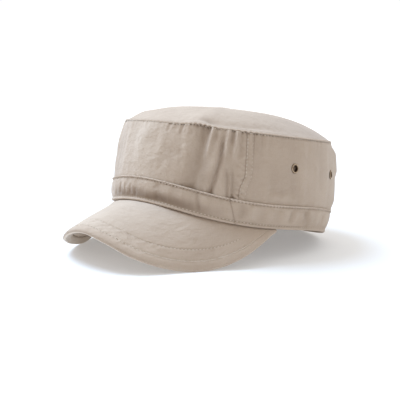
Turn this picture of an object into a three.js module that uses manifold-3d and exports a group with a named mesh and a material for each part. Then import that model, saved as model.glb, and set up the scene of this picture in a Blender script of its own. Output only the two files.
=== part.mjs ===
import * as THREE from 'three';
import { mergeVertices } from 'three/addons/utils/BufferGeometryUtils.js';
import Module from 'manifold-3d';

// Army cap of cotton twill: a flat-topped crown on a band, with a short arched peak.
// Millimetres, +Z up, the front towards -Y and the wearer's left towards +X.
// Angles go round the crown in degrees from the centre front, positive towards the wearer's left.
// Heights on the crown are 0 at the rim, 1 at the band's seam and 2 at the top seam.

// The three sewn lines round the crown: the oval's half length, half width and shift to the back, its
// mean height, and how far that height rises in one wave round the crown, in two, in three and in four
const lines = [
  { halfLength: 100.0, halfWidth: 82.5, shift: 0.0, height: 1.3, waves: [4.5, -1.3, 2.3, 0.7] },
  { halfLength: 101.9, halfWidth: 85.0, shift: 0.1, height: 19.5, waves: [4.5, -1.9, 2.8, 0.7] },
  { halfLength: 98.6, halfWidth: 81.8, shift: -2.6, height: 72.7, waves: [-6.0, -0.7, 0.7, 0.0] },
];

// Places where a sewn line is pulled off its oval: the line, the angle there, the half width of the
// pull in degrees, and how far it goes out and up
const bends = [
  { line: 0, angle: 180, width: 42, out: 0, rise: 4.0 },
  { line: 1, angle: -54, width: 18, out: -0.8, rise: 0 },
  { line: 2, angle: -55, width: 17, out: -3.6, rise: -2.6 },
  { line: 2, angle: 128, width: 20, out: -3.8, rise: 0.6 },
  { line: 2, angle: -128, width: 20, out: -3.8, rise: 0.6 },
];
const frontNarrowing = 0.044;
const squareness = 0.009;
const wallBelly = 1.4;

// Cloth thicknesses: the wall is twill on a fused backing, the band and the peak are layered
const wallThickness = 1.6;
const topThickness = 1.5;
const bandThickness = 2.2;
const peakThickness = 3.0;
const joinGap = 0.3;
const halfGap = joinGap / 2;
const gapAngle = 0.28;

// Top panel: its rise above the seam and the roundness of that rise
const domeRise = 19.6;
const domePower = 3;

// Side seams of the crown and joints of the band, in degrees at mid height, with their lean per height
const sideSeam = { angle: 50.8, lean: -1.4 };
const bandJoint = { angle: 47.6, lean: -4.9 };
const stripWidth = 5.2;
const stripRaise = 0.7;

// Band: how far each row of it stands proud of the oval, from the turned rim to the seam
const bandRows = [
  { height: 0.0, proud: 0.2 },
  { height: 0.05, proud: 0.9 },
  { height: 0.13, proud: 0.7 },
  { height: 0.19, proud: -0.1 },
  { height: 0.34, proud: 1.1 },
  { height: 0.6, proud: 1.5 },
  { height: 0.86, proud: 1.1 },
  { height: 1.0, proud: 0.2 },
];

// Peak: half its angle, its arch across, the share of the angle where its ends are cut, how far it
// reaches in under the band and lies below it, and its reach and drop at shares of the half angle
const peakSpan = 73;
const peakArch = 3.4;
const peakEnd = 0.975;
const peakTuck = 1.8;
const peakBelow = 0.35;
const peakSections = [
  { share: 0.0, reach: 53.6, drop: 24.1 },
  { share: 0.125, reach: 51.2, drop: 27.6 },
  { share: 0.25, reach: 44.0, drop: 33.8 },
  { share: 0.375, reach: 32.0, drop: 37.1 },
  { share: 0.5, reach: 21.3, drop: 36.3 },
  { share: 0.625, reach: 15.2, drop: 31.1 },
  { share: 0.75, reach: 12.1, drop: 21.6 },
  { share: 0.85, reach: 8.1, drop: 12.0 },
  { share: 0.93, reach: 3.7, drop: 4.8 },
  { share: 1.0, reach: 0.0, drop: 0.0 },
];

// Peak rows from the rim inwards: distance from the edge, thickness there, and the stitch groove
const peakRows = [
  { inset: 0.0, thick: 1.3, groove: 0.0 },
  { inset: 0.8, thick: 2.6, groove: 0.0 },
  { inset: 2.4, thick: 3.3, groove: 0.0 },
  { inset: 5.2, thick: 3.1, groove: 0.0 },
  { inset: 6.2, thick: 2.4, groove: 0.5 },
  { inset: 7.2, thick: 3.0, groove: 0.0 },
  { inset: 13.9, thick: 2.9, groove: 0.1 },
];
const peakInnerRows = 4;

// Folds in the front wall: angle at mid height, lean per height, half width, depth, and the heights
// between which it fades in and out; a negative depth is a valley
const wallFolds = [
  { angle: 7.5, lean: -13, width: 17, depth: 1.1, from: 1.1, to: 1.95 },
  { angle: 14.5, lean: -10, width: 11, depth: -1.1, from: 1.1, to: 1.95 },
  { angle: 28.6, lean: 1.0, width: 7.0, depth: -1.8, from: 1.0, to: 2.0 },
  { angle: 33.4, lean: 3.2, width: 3.6, depth: 1.7, from: 1.1, to: 2.0 },
  { angle: 39.2, lean: 1.4, width: 3.2, depth: -2.6, from: 1.15, to: 2.0 },
  { angle: 41.4, lean: 1.0, width: 2.6, depth: 1.2, from: 1.6, to: 2.0 },
  { angle: 43.6, lean: 0, width: 2.4, depth: -1.3, from: 1.65, to: 2.0 },
  { angle: 45.7, lean: 1.0, width: 2.6, depth: 1.2, from: 1.6, to: 2.0 },
  { angle: 43.0, lean: -3.4, width: 2.4, depth: -1.1, from: 1.0, to: 1.45 },
  { angle: 45.4, lean: -3.4, width: 2.4, depth: -1.1, from: 1.0, to: 1.45 },
];

// Soft folds behind the side seams, the same on both sides
const sideFolds = [
  { angle: 61.5, lean: 0, width: 4.0, depth: -0.6, from: 1.55, to: 2.0 },
  { angle: 68.0, lean: 12, width: 9.0, depth: -0.7, from: 1.02, to: 1.5 },
  { angle: 128.0, lean: 0, width: 16.0, depth: 2.4, from: 1.02, to: 1.97 },
];

// Folds in the band, in the same columns
const bandFolds = [
  { angle: -18.7, lean: 2.0, width: 2.6, depth: -1.1, from: 0.1, to: 0.9 },
  { angle: -14.0, lean: 1.5, width: 2.6, depth: 0.8, from: 0.15, to: 0.9 },
  { angle: -8.4, lean: 1.0, width: 2.4, depth: -0.8, from: 0.2, to: 0.75 },
  { angle: -4.7, lean: 0, width: 2.4, depth: -0.7, from: 0.1, to: 0.55 },
  { angle: 10.0, lean: 0, width: 12, depth: -0.9, from: 0.1, to: 0.6 },
  { angle: 31.6, lean: -1.5, width: 2.6, depth: -0.9, from: 0.3, to: 0.95 },
  { angle: 77.3, lean: 0, width: 3.0, depth: -0.9, from: 0.15, to: 0.95 },
  { angle: 90.0, lean: -4.0, width: 3.0, depth: -0.8, from: 0.1, to: 0.9 },
  { angle: 105.0, lean: -3.0, width: 3.0, depth: -0.6, from: 0.2, to: 0.8 },
  { angle: 128.0, lean: 0, width: 16.0, depth: -1.5, from: 0, to: 1 },
  { angle: -128.0, lean: 0, width: 16.0, depth: -1.5, from: 0, to: 1 },
];

// Dents in the top panel: angle, share of the radius, half widths round and across, and depth
const topDents = [
  { angle: 32, share: 0.93, round: 7, across: 7, depth: -1.4 },
  { angle: 43, share: 0.88, round: 15, across: 10, depth: -1.0 },
  { angle: -52, share: 0.36, round: 26, across: 26, depth: -1.8 },
];

// Section of the top panel, from its centre underneath out to the edge and back over the top: share
// of the radius, distance past the seam, and height above the underside, the seam or the top
const topRows = [
  { share: 0.0, past: 0, side: 'under', lift: 0 },
  { share: 0.3, past: 0, side: 'under', lift: 0 },
  { share: 0.55, past: 0, side: 'under', lift: 0 },
  { share: 0.74, past: 0, side: 'under', lift: 0 },
  { share: 0.87, past: 0, side: 'under', lift: 0 },
  { share: 0.955, past: 0, side: 'seam', lift: 0.15 },
  { share: 1.0, past: 0.5, side: 'seam', lift: 0.15 },
  { share: 1.0, past: 0.8, side: 'seam', lift: 0.8 },
  { share: 1.0, past: 0.5, side: 'seam', lift: 1.5 },
  { share: 0.99, past: 0, side: 'over', lift: 1.3 },
  { share: 0.965, past: 0, side: 'over', lift: -0.3 },
  { share: 0.92, past: 0, side: 'over', lift: 0 },
  { share: 0.83, past: 0, side: 'over', lift: 0 },
  { share: 0.7, past: 0, side: 'over', lift: 0 },
  { share: 0.52, past: 0, side: 'over', lift: 0 },
  { share: 0.3, past: 0, side: 'over', lift: 0 },
  { share: 0.0, past: 0, side: 'over', lift: 0 },
];

// Eyelets: their angle and height on the left side, repeated on the right
const eyelets = [
  { name: 'front', angle: 76.0, height: 1.55 },
  { name: 'rear', angle: 109.5, height: 1.52 },
];
const eyeletHole = 2.0;
const barrelRadius = 2.6;
const flangeRadius = 3.7;
const flangeThickness = 0.7;
const eyeletSides = 14;
const clothHole = barrelRadius + joinGap;

// How the cap lies by itself: on the back of the rim and on the two low sides of the peak
const restTilt = 9.25;
const restLevel = 17.97;
const restShift = 22.95;
const flattening = 0.6;
const restRise = restLevel - flattening;

const twill = new THREE.MeshStandardMaterial({ color: 0xcbbfae, roughness: 0.92, metalness: 0 });
const brass = new THREE.MeshStandardMaterial({ color: 0x5b4a33, roughness: 0.42, metalness: 0.9 });

const radians = THREE.MathUtils.degToRad;
const lerp = THREE.MathUtils.lerp;
const fade = THREE.MathUtils.smoothstep;

const wasm = await Module();
wasm.setup();

// Even steps from a first to a last value
function steps(first, last, count) {
  return Array.from({ length: count + 1 }, (_, i) => lerp(first, last, i / count));
}

// A table's column at a place along it, on a smooth curve through the rows
function along(rows, place, column, at) {
  let i = 0;
  while (i < rows.length - 2 && at > rows[i + 1][place]) i += 1;
  const slope = (a, b) => (rows[b][column] - rows[a][column]) / (rows[b][place] - rows[a][place]);
  const span = rows[i + 1][place] - rows[i][place];
  const t = (at - rows[i][place]) / span;
  const before = i > 0 ? slope(i - 1, i + 1) : 0;
  const after = i < rows.length - 2 ? slope(i, i + 2) : slope(i, i + 1);
  const near = rows[i][column];
  const far = rows[i + 1][column];
  const rise = 3 * (far - near) - span * (2 * before + after);
  const turn = span * (before + after) - 2 * (far - near);
  return near + span * before * t + rise * t * t + turn * t * t * t;
}

// A hill of height 1 that falls off over a half width, at a distance from its top
function hill(away, width) {
  return Math.exp(-((away / width) ** 2));
}

// How far one angle round the crown lies past another, from -180 to 180 degrees
function angleFrom(other, angle) {
  return THREE.MathUtils.euclideanModulo(angle - other + 180, 360) - 180;
}

// One oval line round the crown, at an angle in degrees and a distance out from the cloth's face
function onLine(line, angle, away) {
  const turn = radians(angle);
  const square = 1 - squareness * Math.cos(4 * turn);
  const narrow = 1 - frontNarrowing * Math.cos(turn);
  const wave = (sum, rise, i) => sum + rise * Math.cos((i + 1) * turn);
  let out = away;
  let z = line.waves.reduce(wave, line.height);
  for (const bend of bends.filter((one) => lines[one.line] === line)) {
    const share = hill(angleFrom(bend.angle, angle), bend.width);
    out += bend.out * share;
    z += bend.rise * share;
  }
  return new THREE.Vector3(
    (line.halfWidth + out) * Math.sin(turn) * narrow * square,
    line.shift - (line.halfLength + out) * Math.cos(turn) * square,
    z,
  );
}

// A point on the crown's side at a height from 0 to 2
function onCrown(angle, height, out) {
  const lower = height < 1 ? 0 : 1;
  const share = height - lower;
  const belly = lower === 1 ? wallBelly * Math.sin(Math.PI * share) : 0;
  const a = onLine(lines[lower], angle, out + belly);
  const b = onLine(lines[lower + 1], angle, out + belly);
  return a.lerp(b, share);
}

// How far a table of folds moves the cloth out at a place
function folded(folds, angle, height) {
  const radius = lines[1].halfWidth;
  let out = 0;
  for (const fold of folds) {
    const middle = (fold.from + fold.to) / 2;
    const across = radians(angleFrom(fold.angle + fold.lean * (height - middle), angle)) * radius;
    const soft = (fold.to - fold.from) * 0.3;
    const low = fold.from % 1 === 0 ? 1 : fade(height, fold.from, fold.from + soft);
    const high = fold.to % 1 === 0 ? 1 : 1 - fade(height, fold.to - soft, fold.to);
    out += fold.depth * low * high * hill(across, fold.width);
  }
  return out;
}

// A closed sheet of cloth: columns along it, rows up it, and a place for each point of both faces
function sheet(columns, rows, place) {
  const geometry = new THREE.BoxGeometry(1, 1, 1, columns.length - 1, rows.length - 1, 1);
  const position = geometry.getAttribute('position');
  for (let i = 0; i < position.count; i += 1) {
    const column = columns[Math.round((position.getX(i) + 0.5) * (columns.length - 1))];
    const row = rows[Math.round((position.getY(i) + 0.5) * (rows.length - 1))];
    const point = place(column, row, position.getZ(i) > 0);
    position.setXYZ(i, point.x, point.y, point.z);
  }
  return geometry;
}

// A mesh's geometry as a solid that can be cut, and back
function toSolid(geometry) {
  const bare = geometry.clone();
  bare.deleteAttribute('normal');
  bare.deleteAttribute('uv');
  const merged = mergeVertices(bare);
  const vertProperties = new Float32Array(merged.getAttribute('position').array);
  const triVerts = new Uint32Array(merged.index.array);
  return new wasm.Manifold(new wasm.Mesh({ numProp: 3, vertProperties, triVerts }));
}

function fromSolid(solid) {
  const mesh = solid.getMesh();
  const geometry = new THREE.BufferGeometry();
  geometry.setAttribute('position', new THREE.BufferAttribute(mesh.vertProperties, 3));
  geometry.setIndex(new THREE.BufferAttribute(mesh.triVerts, 1));
  const faceted = geometry.toNonIndexed();
  faceted.computeVertexNormals();
  return faceted;
}

function cut(geometry, cutters) {
  let solid = toSolid(geometry);
  for (const cutter of cutters) solid = solid.subtract(toSolid(cutter));
  return fromSolid(solid);
}

// The wall's heights, clear of the band below and the top panel above by half a gap each
function wallRows(between) {
  const tall = lines[2].height - lines[1].height;
  return [1 + halfGap / tall, ...between, 2 - halfGap / tall];
}

// Front wall: between the side seams, with its folds
function frontWall() {
  const rows = wallRows([1.1, 1.2, 1.31, 1.42, 1.54, 1.66, 1.78, 1.9]);
  const columns = [...steps(-1, -0.44, 9), ...steps(-0.36, 0.36, 12), ...steps(0.42, 0.96, 16), 1];
  return sheet(columns, rows, (share, height, outer) => {
    const seam = sideSeam.angle + sideSeam.lean * (height - 1.5) - gapAngle / 2;
    const angle = seam * share;
    const out = outer ? 0 : -wallThickness;
    return onCrown(angle, height, out + folded(wallFolds, angle, height));
  });
}

// The rest of the wall, with a felled strip along each side seam and holes for the eyelets
function backWall() {
  const strip = THREE.MathUtils.radToDeg(stripWidth / lines[1].halfWidth);
  const half = [0, strip * 0.15, strip * 0.85, strip, ...steps(8, 40, 8), ...steps(48, 130, 12)];
  const end = 2 * half[half.length - 1];
  const columns = [...half, ...half.slice(0, -1).reverse().map((past) => end - past)];
  const geometry = sheet(columns, wallRows([1.15, 1.3, 1.45, 1.6, 1.75, 1.9]), (past, height, outer) => {
    const seam = sideSeam.angle + sideSeam.lean * (height - 1.5) + gapAngle / 2;
    const angle = seam + (past / end) * (360 - 2 * seam);
    const side = Math.min(past, end - past);
    const raised = side > strip * 0.1 && side < strip * 0.9 ? stripRaise : 0;
    const folds = folded(sideFolds, angle > 180 ? 360 - angle : angle, height);
    return onCrown(angle, height, (outer ? raised : -wallThickness) + folds);
  });
  return cut(geometry, eyeletPlaces().map((eye) => placed(clothPunch(), eye)));
}

// Where each eyelet sits: the middle of the cloth and the way out of it
function eyeletPlaces() {
  return [1, -1].flatMap((side) => eyelets.map((eye) => {
    const face = onCrown(side * eye.angle, eye.height, 0);
    const ahead = onCrown(side * eye.angle + 2, eye.height, 0);
    const behind = onCrown(side * eye.angle - 2, eye.height, 0);
    const above = onCrown(side * eye.angle, eye.height + 0.05, 0);
    const below = onCrown(side * eye.angle, eye.height - 0.05, 0);
    const out = ahead.sub(behind).cross(above.sub(below)).normalize();
    const middle = face.addScaledVector(out, -wallThickness / 2);
    const hand = side > 0 ? 'left' : 'right';
    return { name: `eyelet_${hand}_${eye.name}`, middle, out };
  }));
}

function clothPunch() {
  return new THREE.CylinderGeometry(clothHole, clothHole, wallThickness * 5, eyeletSides);
}

function turnedTo(out) {
  return new THREE.Quaternion().setFromUnitVectors(new THREE.Vector3(0, 1, 0), out);
}

function placed(geometry, place) {
  const matrix = new THREE.Matrix4().compose(place.middle, turnedTo(place.out), new THREE.Vector3(1, 1, 1));
  return geometry.applyMatrix4(matrix);
}

// Metal eyelet: a barrel through the cloth with a rolled flange on each face
function eyelet() {
  const face = wallThickness / 2 + joinGap;
  const back = flangeThickness * 0.5;
  const profile = [
    [eyeletHole, -face - back], [barrelRadius, -face - flangeThickness],
    [flangeRadius - 0.3, -face - back], [flangeRadius - 0.3, -face],
    [barrelRadius, -face], [barrelRadius, face],
    [flangeRadius, face], [flangeRadius, face + flangeThickness * 0.6],
    [(flangeRadius + barrelRadius) / 2, face + flangeThickness * 1.3],
    [eyeletHole, face + flangeThickness * 0.6],
  ];
  const points = [...profile, profile[0]].map(([radius, height]) => new THREE.Vector2(radius, height));
  return new THREE.LatheGeometry(points, eyeletSides);
}

// Band: an arc of layered cloth from one angle share to the other
function bandPiece(columns, angleOf) {
  const top = 1 - halfGap / (lines[1].height - lines[0].height);
  const rows = bandRows.map((row) => Math.min(row.height, top));
  return sheet(columns, rows, (share, height, outer) => {
    const angle = angleOf(share, bandJoint.angle + bandJoint.lean * (height - 0.5));
    const folds = folded(bandFolds, angle, height);
    const proud = along(bandRows, 'height', 'proud', height);
    return onCrown(angle, height, outer ? proud + folds : -bandThickness);
  });
}

function frontBand() {
  const columns = [...steps(-1, -0.5, 5), ...steps(-0.44, 0, 9), ...steps(0.09, 0.54, 6), ...steps(0.62, 1, 5)];
  return bandPiece(columns, (share, joint) => share * (joint - gapAngle / 2));
}

function backBand() {
  const columns = [...steps(0, 0.26, 22), ...steps(0.3, 1, 26)];
  const piece = bandPiece(columns, (share, joint) => {
    const start = joint + gapAngle / 2;
    return start + share * (360 - 2 * start);
  });
  return cut(piece, [floorSlab()]);
}

// Peak: a point of its upper face before its thickness, at a share of the half angle and from rim to edge
function onPeak(share, out) {
  const size = Math.abs(share);
  const rim = onLine(lines[0], share * peakSpan, -peakTuck);
  const reach = along(peakSections, 'share', 'reach', size) + peakTuck;
  const drop = along(peakSections, 'share', 'drop', size);
  const radius = Math.hypot(rim.x, rim.y);
  const arch = peakArch * 4 * out * (1 - out) * (1 - size ** 4);
  return new THREE.Vector3(
    rim.x * (1 + (out * reach) / radius),
    rim.y * (1 + (out * reach) / radius),
    rim.z - peakBelow - out * drop + arch,
  );
}

function peak() {
  const columns = steps(-peakEnd, peakEnd, 44);
  const inner = steps(0, 1, peakInnerRows).slice(1);
  const rows = [...peakRows.keys(), ...inner.map((share) => -share)];
  const geometry = sheet(columns, rows, (share, row, upper) => {
    const length = onPeak(share, 1).distanceTo(onPeak(share, 0));
    const last = peakRows[peakRows.length - 1];
    const squeeze = Math.min(1, length / (last.inset * 1.35));
    const table = row >= 0 ? peakRows[row] : last;
    const edge = 1 - (table.inset * squeeze) / length;
    const out = row >= 0 ? edge : lerp(edge, 0, -row);
    const step = 0.01;
    const across = onPeak(share + step, out).sub(onPeak(share - step, out));
    const inward = onPeak(share, out - step).sub(onPeak(share, out + step));
    const normal = across.cross(inward).normalize();
    const below = upper ? table.groove : peakThickness - (peakThickness - table.thick) / 2;
    const above = upper ? (peakThickness - table.thick) / 2 : 0;
    return onPeak(share, out).addScaledVector(normal, -below - above);
  });
  return cut(geometry, [floorSlab()]);
}

// Top panel: the oval scaled to a share of its radius, raised into a low dome and dented
function onTop(angle, share) {
  const line = lines[2];
  const seam = onLine(line, angle, 0);
  let lift = domeRise * (1 - share ** domePower);
  for (const dent of topDents) {
    const round = radians(angleFrom(dent.angle, angle)) * line.halfWidth * share;
    const across = (share - dent.share) * line.halfWidth;
    lift += dent.depth * hill(round, dent.round) * hill(across, dent.across);
  }
  return new THREE.Vector3(
    seam.x * share,
    line.shift + (seam.y - line.shift) * share,
    line.height + (seam.z - line.height) * share + lift,
  );
}

function topPanel() {
  const profile = topRows.map((row, i) => new THREE.Vector2(row.share > 0 ? 1 : 0, i));
  const sides = 60;
  const geometry = new THREE.LatheGeometry(profile, sides);
  const position = geometry.getAttribute('position');
  for (let i = 0; i < position.count; i += 1) {
    const row = topRows[i % topRows.length];
    const angle = (360 * (Math.floor(i / topRows.length) % sides)) / sides;
    const point = onTop(angle, row.share);
    if (row.side === 'under') point.z -= topThickness * 1.25;
    if (row.side === 'over') point.z += row.lift;
    if (row.side === 'seam') {
      const seam = onLine(lines[2], angle, row.past);
      point.z = seam.z + row.lift;
      if (row.share === 1) point.set(seam.x, seam.y, point.z);
    }
    position.setXYZ(i, point.x, point.y, point.z);
  }
  return geometry;
}

// The surface that the cap lies on, seen from the crown's own frame
function floorSlab() {
  const slab = new THREE.BoxGeometry(400, 400, 60).translate(0, 0, -30);
  return slab.applyMatrix4(restPose().invert());
}

function restPose() {
  const pose = new THREE.Matrix4().makeRotationX(radians(-restTilt));
  return pose.setPosition(0, restShift, restRise);
}

function addPiece(group, name, geometry, material) {
  const mesh = new THREE.Mesh(geometry, material.clone());
  mesh.name = name;
  group.add(mesh);
  return mesh;
}

const crown = new THREE.Group();
addPiece(crown, 'crown_front', frontWall(), twill);
addPiece(crown, 'crown_back', backWall(), twill);
addPiece(crown, 'crown_top', topPanel(), twill);

const rimParts = new THREE.Group();
addPiece(rimParts, 'band_front', frontBand(), twill);
addPiece(rimParts, 'band_back', backBand(), twill);
addPiece(rimParts, 'peak', peak(), twill);

const trim = new THREE.Group();
for (const place of eyeletPlaces()) {
  const mesh = addPiece(trim, place.name, eyelet(), brass);
  mesh.position.copy(place.middle);
  mesh.quaternion.copy(turnedTo(place.out));
}

const cap = new THREE.Group();
cap.add(crown, rimParts, trim);
cap.rotation.x = radians(-restTilt);
cap.position.set(0, restShift, restRise);

const group = new THREE.Group();
group.add(cap);

export default group;
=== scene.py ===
"""Army cap of cotton twill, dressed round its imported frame.

The crown, the band and the peak are sewn cloth with their folds, rolled seams and rows of stitches, and
the vents are metal eyelets. Angles go round the crown in degrees from the centre front, positive towards
the wearer's left. Heights on the crown are 0 at the rim, 1 at the band's seam and 2 at the top seam.
Sizes are in millimetres until a piece is placed, and the scene is in metres.
"""

import logging
import math
from collections.abc import Callable, Iterator, Sequence
from contextlib import contextmanager
from dataclasses import dataclass
from enum import Enum

import bpy
import numpy as np
from mathutils import Matrix, Vector


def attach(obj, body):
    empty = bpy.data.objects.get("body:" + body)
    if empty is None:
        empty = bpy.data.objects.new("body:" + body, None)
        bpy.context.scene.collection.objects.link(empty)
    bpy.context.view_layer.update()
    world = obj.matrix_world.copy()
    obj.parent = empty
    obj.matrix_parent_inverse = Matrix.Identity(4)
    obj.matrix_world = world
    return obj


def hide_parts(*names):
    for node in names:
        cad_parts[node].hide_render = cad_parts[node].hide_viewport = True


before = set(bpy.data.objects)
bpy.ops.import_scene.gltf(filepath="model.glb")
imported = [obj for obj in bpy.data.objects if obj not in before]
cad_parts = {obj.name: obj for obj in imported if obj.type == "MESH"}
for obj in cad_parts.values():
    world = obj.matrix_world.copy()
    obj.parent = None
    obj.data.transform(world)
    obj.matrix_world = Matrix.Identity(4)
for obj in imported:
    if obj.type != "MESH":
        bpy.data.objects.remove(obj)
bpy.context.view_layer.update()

log = logging.getLogger("army_cap")

Array = np.ndarray
Face = Callable[[Array, Array], Array]
Table = Sequence[tuple[float, float]]
Colour = tuple[float, float, float]
Socket = bpy.types.NodeSocket
Inputs = dict[str | int, object]

MM = 0.001
FULL_TURN = 360.0
ROOT = "root"
# The names under which a piece carries its weave's directions, and its rubbed places with its painted
# light and painted shade
WEAVE = "weave"
TONE = "tone"


class Slot(Enum):
    """The record's material slots."""

    TWILL = "twill"
    METAL = "eyelet_metal"


class Part(Enum):
    """Which stretch of the crown a wall or a band runs along."""

    FRONT = "front"
    BACK = "back"


# Measures along the cloth


def fade(value: Array, start: float, end: float) -> Array:
    """A soft step from 0 at start to 1 at end."""
    share = np.clip((value - start) / (end - start), 0.0, 1.0)
    return share * share * (3.0 - 2.0 * share)


def window(value: Array, opens: float, full: float, wanes: float, shut: float) -> Array:
    """1 between full and wanes, falling softly to 0 at opens and at shut."""
    return fade(value, opens, full) * (1 - fade(value, wanes, shut))


def bump(away: Array, width: float, power: float = 2.0) -> Array:
    """A hill of height 1 and the given half width, at a distance from its middle."""
    return np.exp(-(np.abs(away / width) ** power))


def signed(angle: Array) -> Array:
    """Angles brought to between -180 and 180 degrees."""
    return (angle + FULL_TURN / 2) % FULL_TURN - FULL_TURN / 2


def uneven_stitches(along: Array) -> Array:
    """How much each stitch differs from the next, from -1 to 1, along a row in radians of its pitch."""
    return np.cos(0.45 * along + 1.5 * np.sin(0.13 * along))


def passed_along(line: Array) -> Array:
    """The length of a line of points from its start to each of them."""
    return np.concatenate([[0.0], np.cumsum(np.linalg.norm(np.diff(line, axis=0), axis=1))])


def graded(first: float, last: float, fine: float, coarse: float, reach: float) -> Array:
    """Values from first to last that lie closer together near both ends.

    Args:
        first: The first value.
        last: The last value.
        fine: The step near the ends.
        coarse: The step between them.
        reach: How far the fine steps go in from each end.

    Returns:
        The values in order.
    """
    ends = max(2, round(reach / fine))
    middle = max(2, round((last - first - 2 * reach) / coarse))
    low = np.linspace(first, first + reach, ends, endpoint=False)
    centre = np.linspace(first + reach, last - reach, middle, endpoint=False)
    high = np.linspace(last - reach, last, ends + 1)
    return np.concatenate([low, centre, high])


def smooth_table(rows: Table, at: Array) -> Array:
    """Reads a table on a smooth curve through its rows, flat at the first and straight at the last.

    Args:
        rows: Pairs of place and value, in rising order of place.
        at: The places to read.

    Returns:
        The values there.
    """
    place, value = np.array(rows, float).T
    last = len(rows) - 1
    slope = np.zeros(len(rows))
    slope[1:last] = (value[2:] - value[:-2]) / (place[2:] - place[:-2])
    slope[last] = (value[last] - value[last - 1]) / (place[last] - place[last - 1])
    left = np.clip(np.searchsorted(place, at, side="left") - 1, 0, last - 1)
    span = place[left + 1] - place[left]
    share = (at - place[left]) / span
    rise = 3 * (value[left + 1] - value[left]) - span * (2 * slope[left] + slope[left + 1])
    turn = span * (slope[left] + slope[left + 1]) - 2 * (value[left + 1] - value[left])
    return value[left] + span * slope[left] * share + rise * share**2 + turn * share**3


def straight_table(rows: Table, at: Array) -> Array:
    """Reads a table on straight lines from row to row."""
    return np.interp(at, *zip(*rows))


def curve_through(points: Sequence[tuple[float, ...]], between: int) -> Array:
    """A smooth curve through points, with a number of steps between each two.

    Args:
        points: The points, as rows of numbers.
        between: The steps from one point to the next.

    Returns:
        The curve's points, the given ones among them.
    """
    spots = np.array(points, float)
    padded = np.vstack([2 * spots[0] - spots[1], spots, 2 * spots[-1] - spots[-2]])
    curve = []
    for i in range(1, len(padded) - 2):
        before, start, end, after = padded[i - 1 : i + 3]
        for share in np.linspace(0.0, 1.0, between, endpoint=False):
            straight = 2 * start + (end - before) * share
            bend = (2 * before - 5 * start + 4 * end - after) * share**2
            twist = (3 * start - before - 3 * end + after) * share**3
            curve.append(0.5 * (straight + bend + twist))
    return np.array([*curve, spots[-1]])


@dataclass(frozen=True)
class Mark:
    """A soft hill over one measure of the cloth: its middle, its half width and its strength."""

    middle: float
    width: float
    strength: float = 1.0

    def at(self, value: Array) -> Array:
        """The mark's strength at each value of its measure."""
        return self.strength * bump(value - self.middle, self.width)


@dataclass(frozen=True)
class Crease:
    """A fold along a path of (angle, height) points on the crown; a negative depth is a valley.

    It fades at an end of its path, over the taper's share of its length, but for an end on a seam.
    """

    path: Table
    width: float
    depth: float
    power: float = 2.0
    taper: float = 0.3

    def at(self, angle: Array, height: Array, around: float, tall: float) -> Array:
        """How far the crease moves the cloth out.

        Args:
            angle: Angles round the crown.
            height: Heights on the crown.
            around: Millimetres in a radian.
            tall: Millimetres in one height.

        Returns:
            Millimetres outwards at each place.
        """
        across, up = np.radians(angle) * around, height * tall
        spots = np.array(self.path, float)
        corners = np.stack([np.radians(spots[:, 0]) * around, spots[:, 1] * tall], 1)
        lengths = np.linalg.norm(np.diff(corners, axis=0), axis=1)
        total, passed = lengths.sum(), 0.0
        nearest = np.full(across.shape, np.inf)
        share = np.zeros(across.shape)
        for start, end, length in zip(corners[:-1], corners[1:], lengths):
            way = (end - start) / length
            reach = np.clip((across - start[0]) * way[0] + (up - start[1]) * way[1], 0.0, length)
            away = np.hypot(across - start[0] - reach * way[0], up - start[1] - reach * way[1])
            closer = away < nearest
            nearest = np.where(closer, away, nearest)
            share = np.where(closer, (passed + reach) / total, share)
            passed += length
        ends = 1.0
        if self.path[0][1] % 1:
            ends = ends * fade(share, -0.02, self.taper)
        if self.path[-1][1] % 1:
            ends = ends * (1.0 - fade(share, 1.0 - self.taper, 1.02))
        return self.depth * ends * bump(nearest, self.width, self.power)


@dataclass(frozen=True)
class Ripple:
    """Seeded unevenness round the crown, the same at 0 and at 360 degrees."""

    seed: int
    around: tuple[int, int]
    upward: float = 0.0
    count: int = 14

    def at(self, angle: Array, height: Array | float = 0.0) -> Array:
        """The unevenness at each place.

        Args:
            angle: Angles round the crown.
            height: Heights on the crown, or shares of another measure.

        Returns:
            Values mostly between -1.5 and 1.5.
        """
        draw = np.random.default_rng(self.seed)
        waves = draw.integers(self.around[0], self.around[1] + 1, self.count)
        climbs = draw.uniform(-self.upward, self.upward, self.count)
        phases = draw.uniform(0.0, 2 * math.pi, self.count)
        turn = np.radians(angle)
        total = np.zeros(np.broadcast(angle, height).shape)
        for wave, climb, phase in zip(waves, climbs, phases):
            total = total + np.cos(wave * turn + 2 * math.pi * climb * height + phase)
        return total / math.sqrt(self.count / 2)


# The cap's form


@dataclass(frozen=True)
class Bend:
    """A place where a sewn line is pulled off its oval: its angle, half width, and way out and up."""

    angle: float
    width: float
    out: float
    rise: float


@dataclass(frozen=True)
class SewnLine:
    """One oval line round the crown: its size, shift to the back, height in waves, and bends."""

    half_length: float
    half_width: float
    shift: float
    height: float
    waves: tuple[float, ...]
    bends: tuple[Bend, ...]


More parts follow.
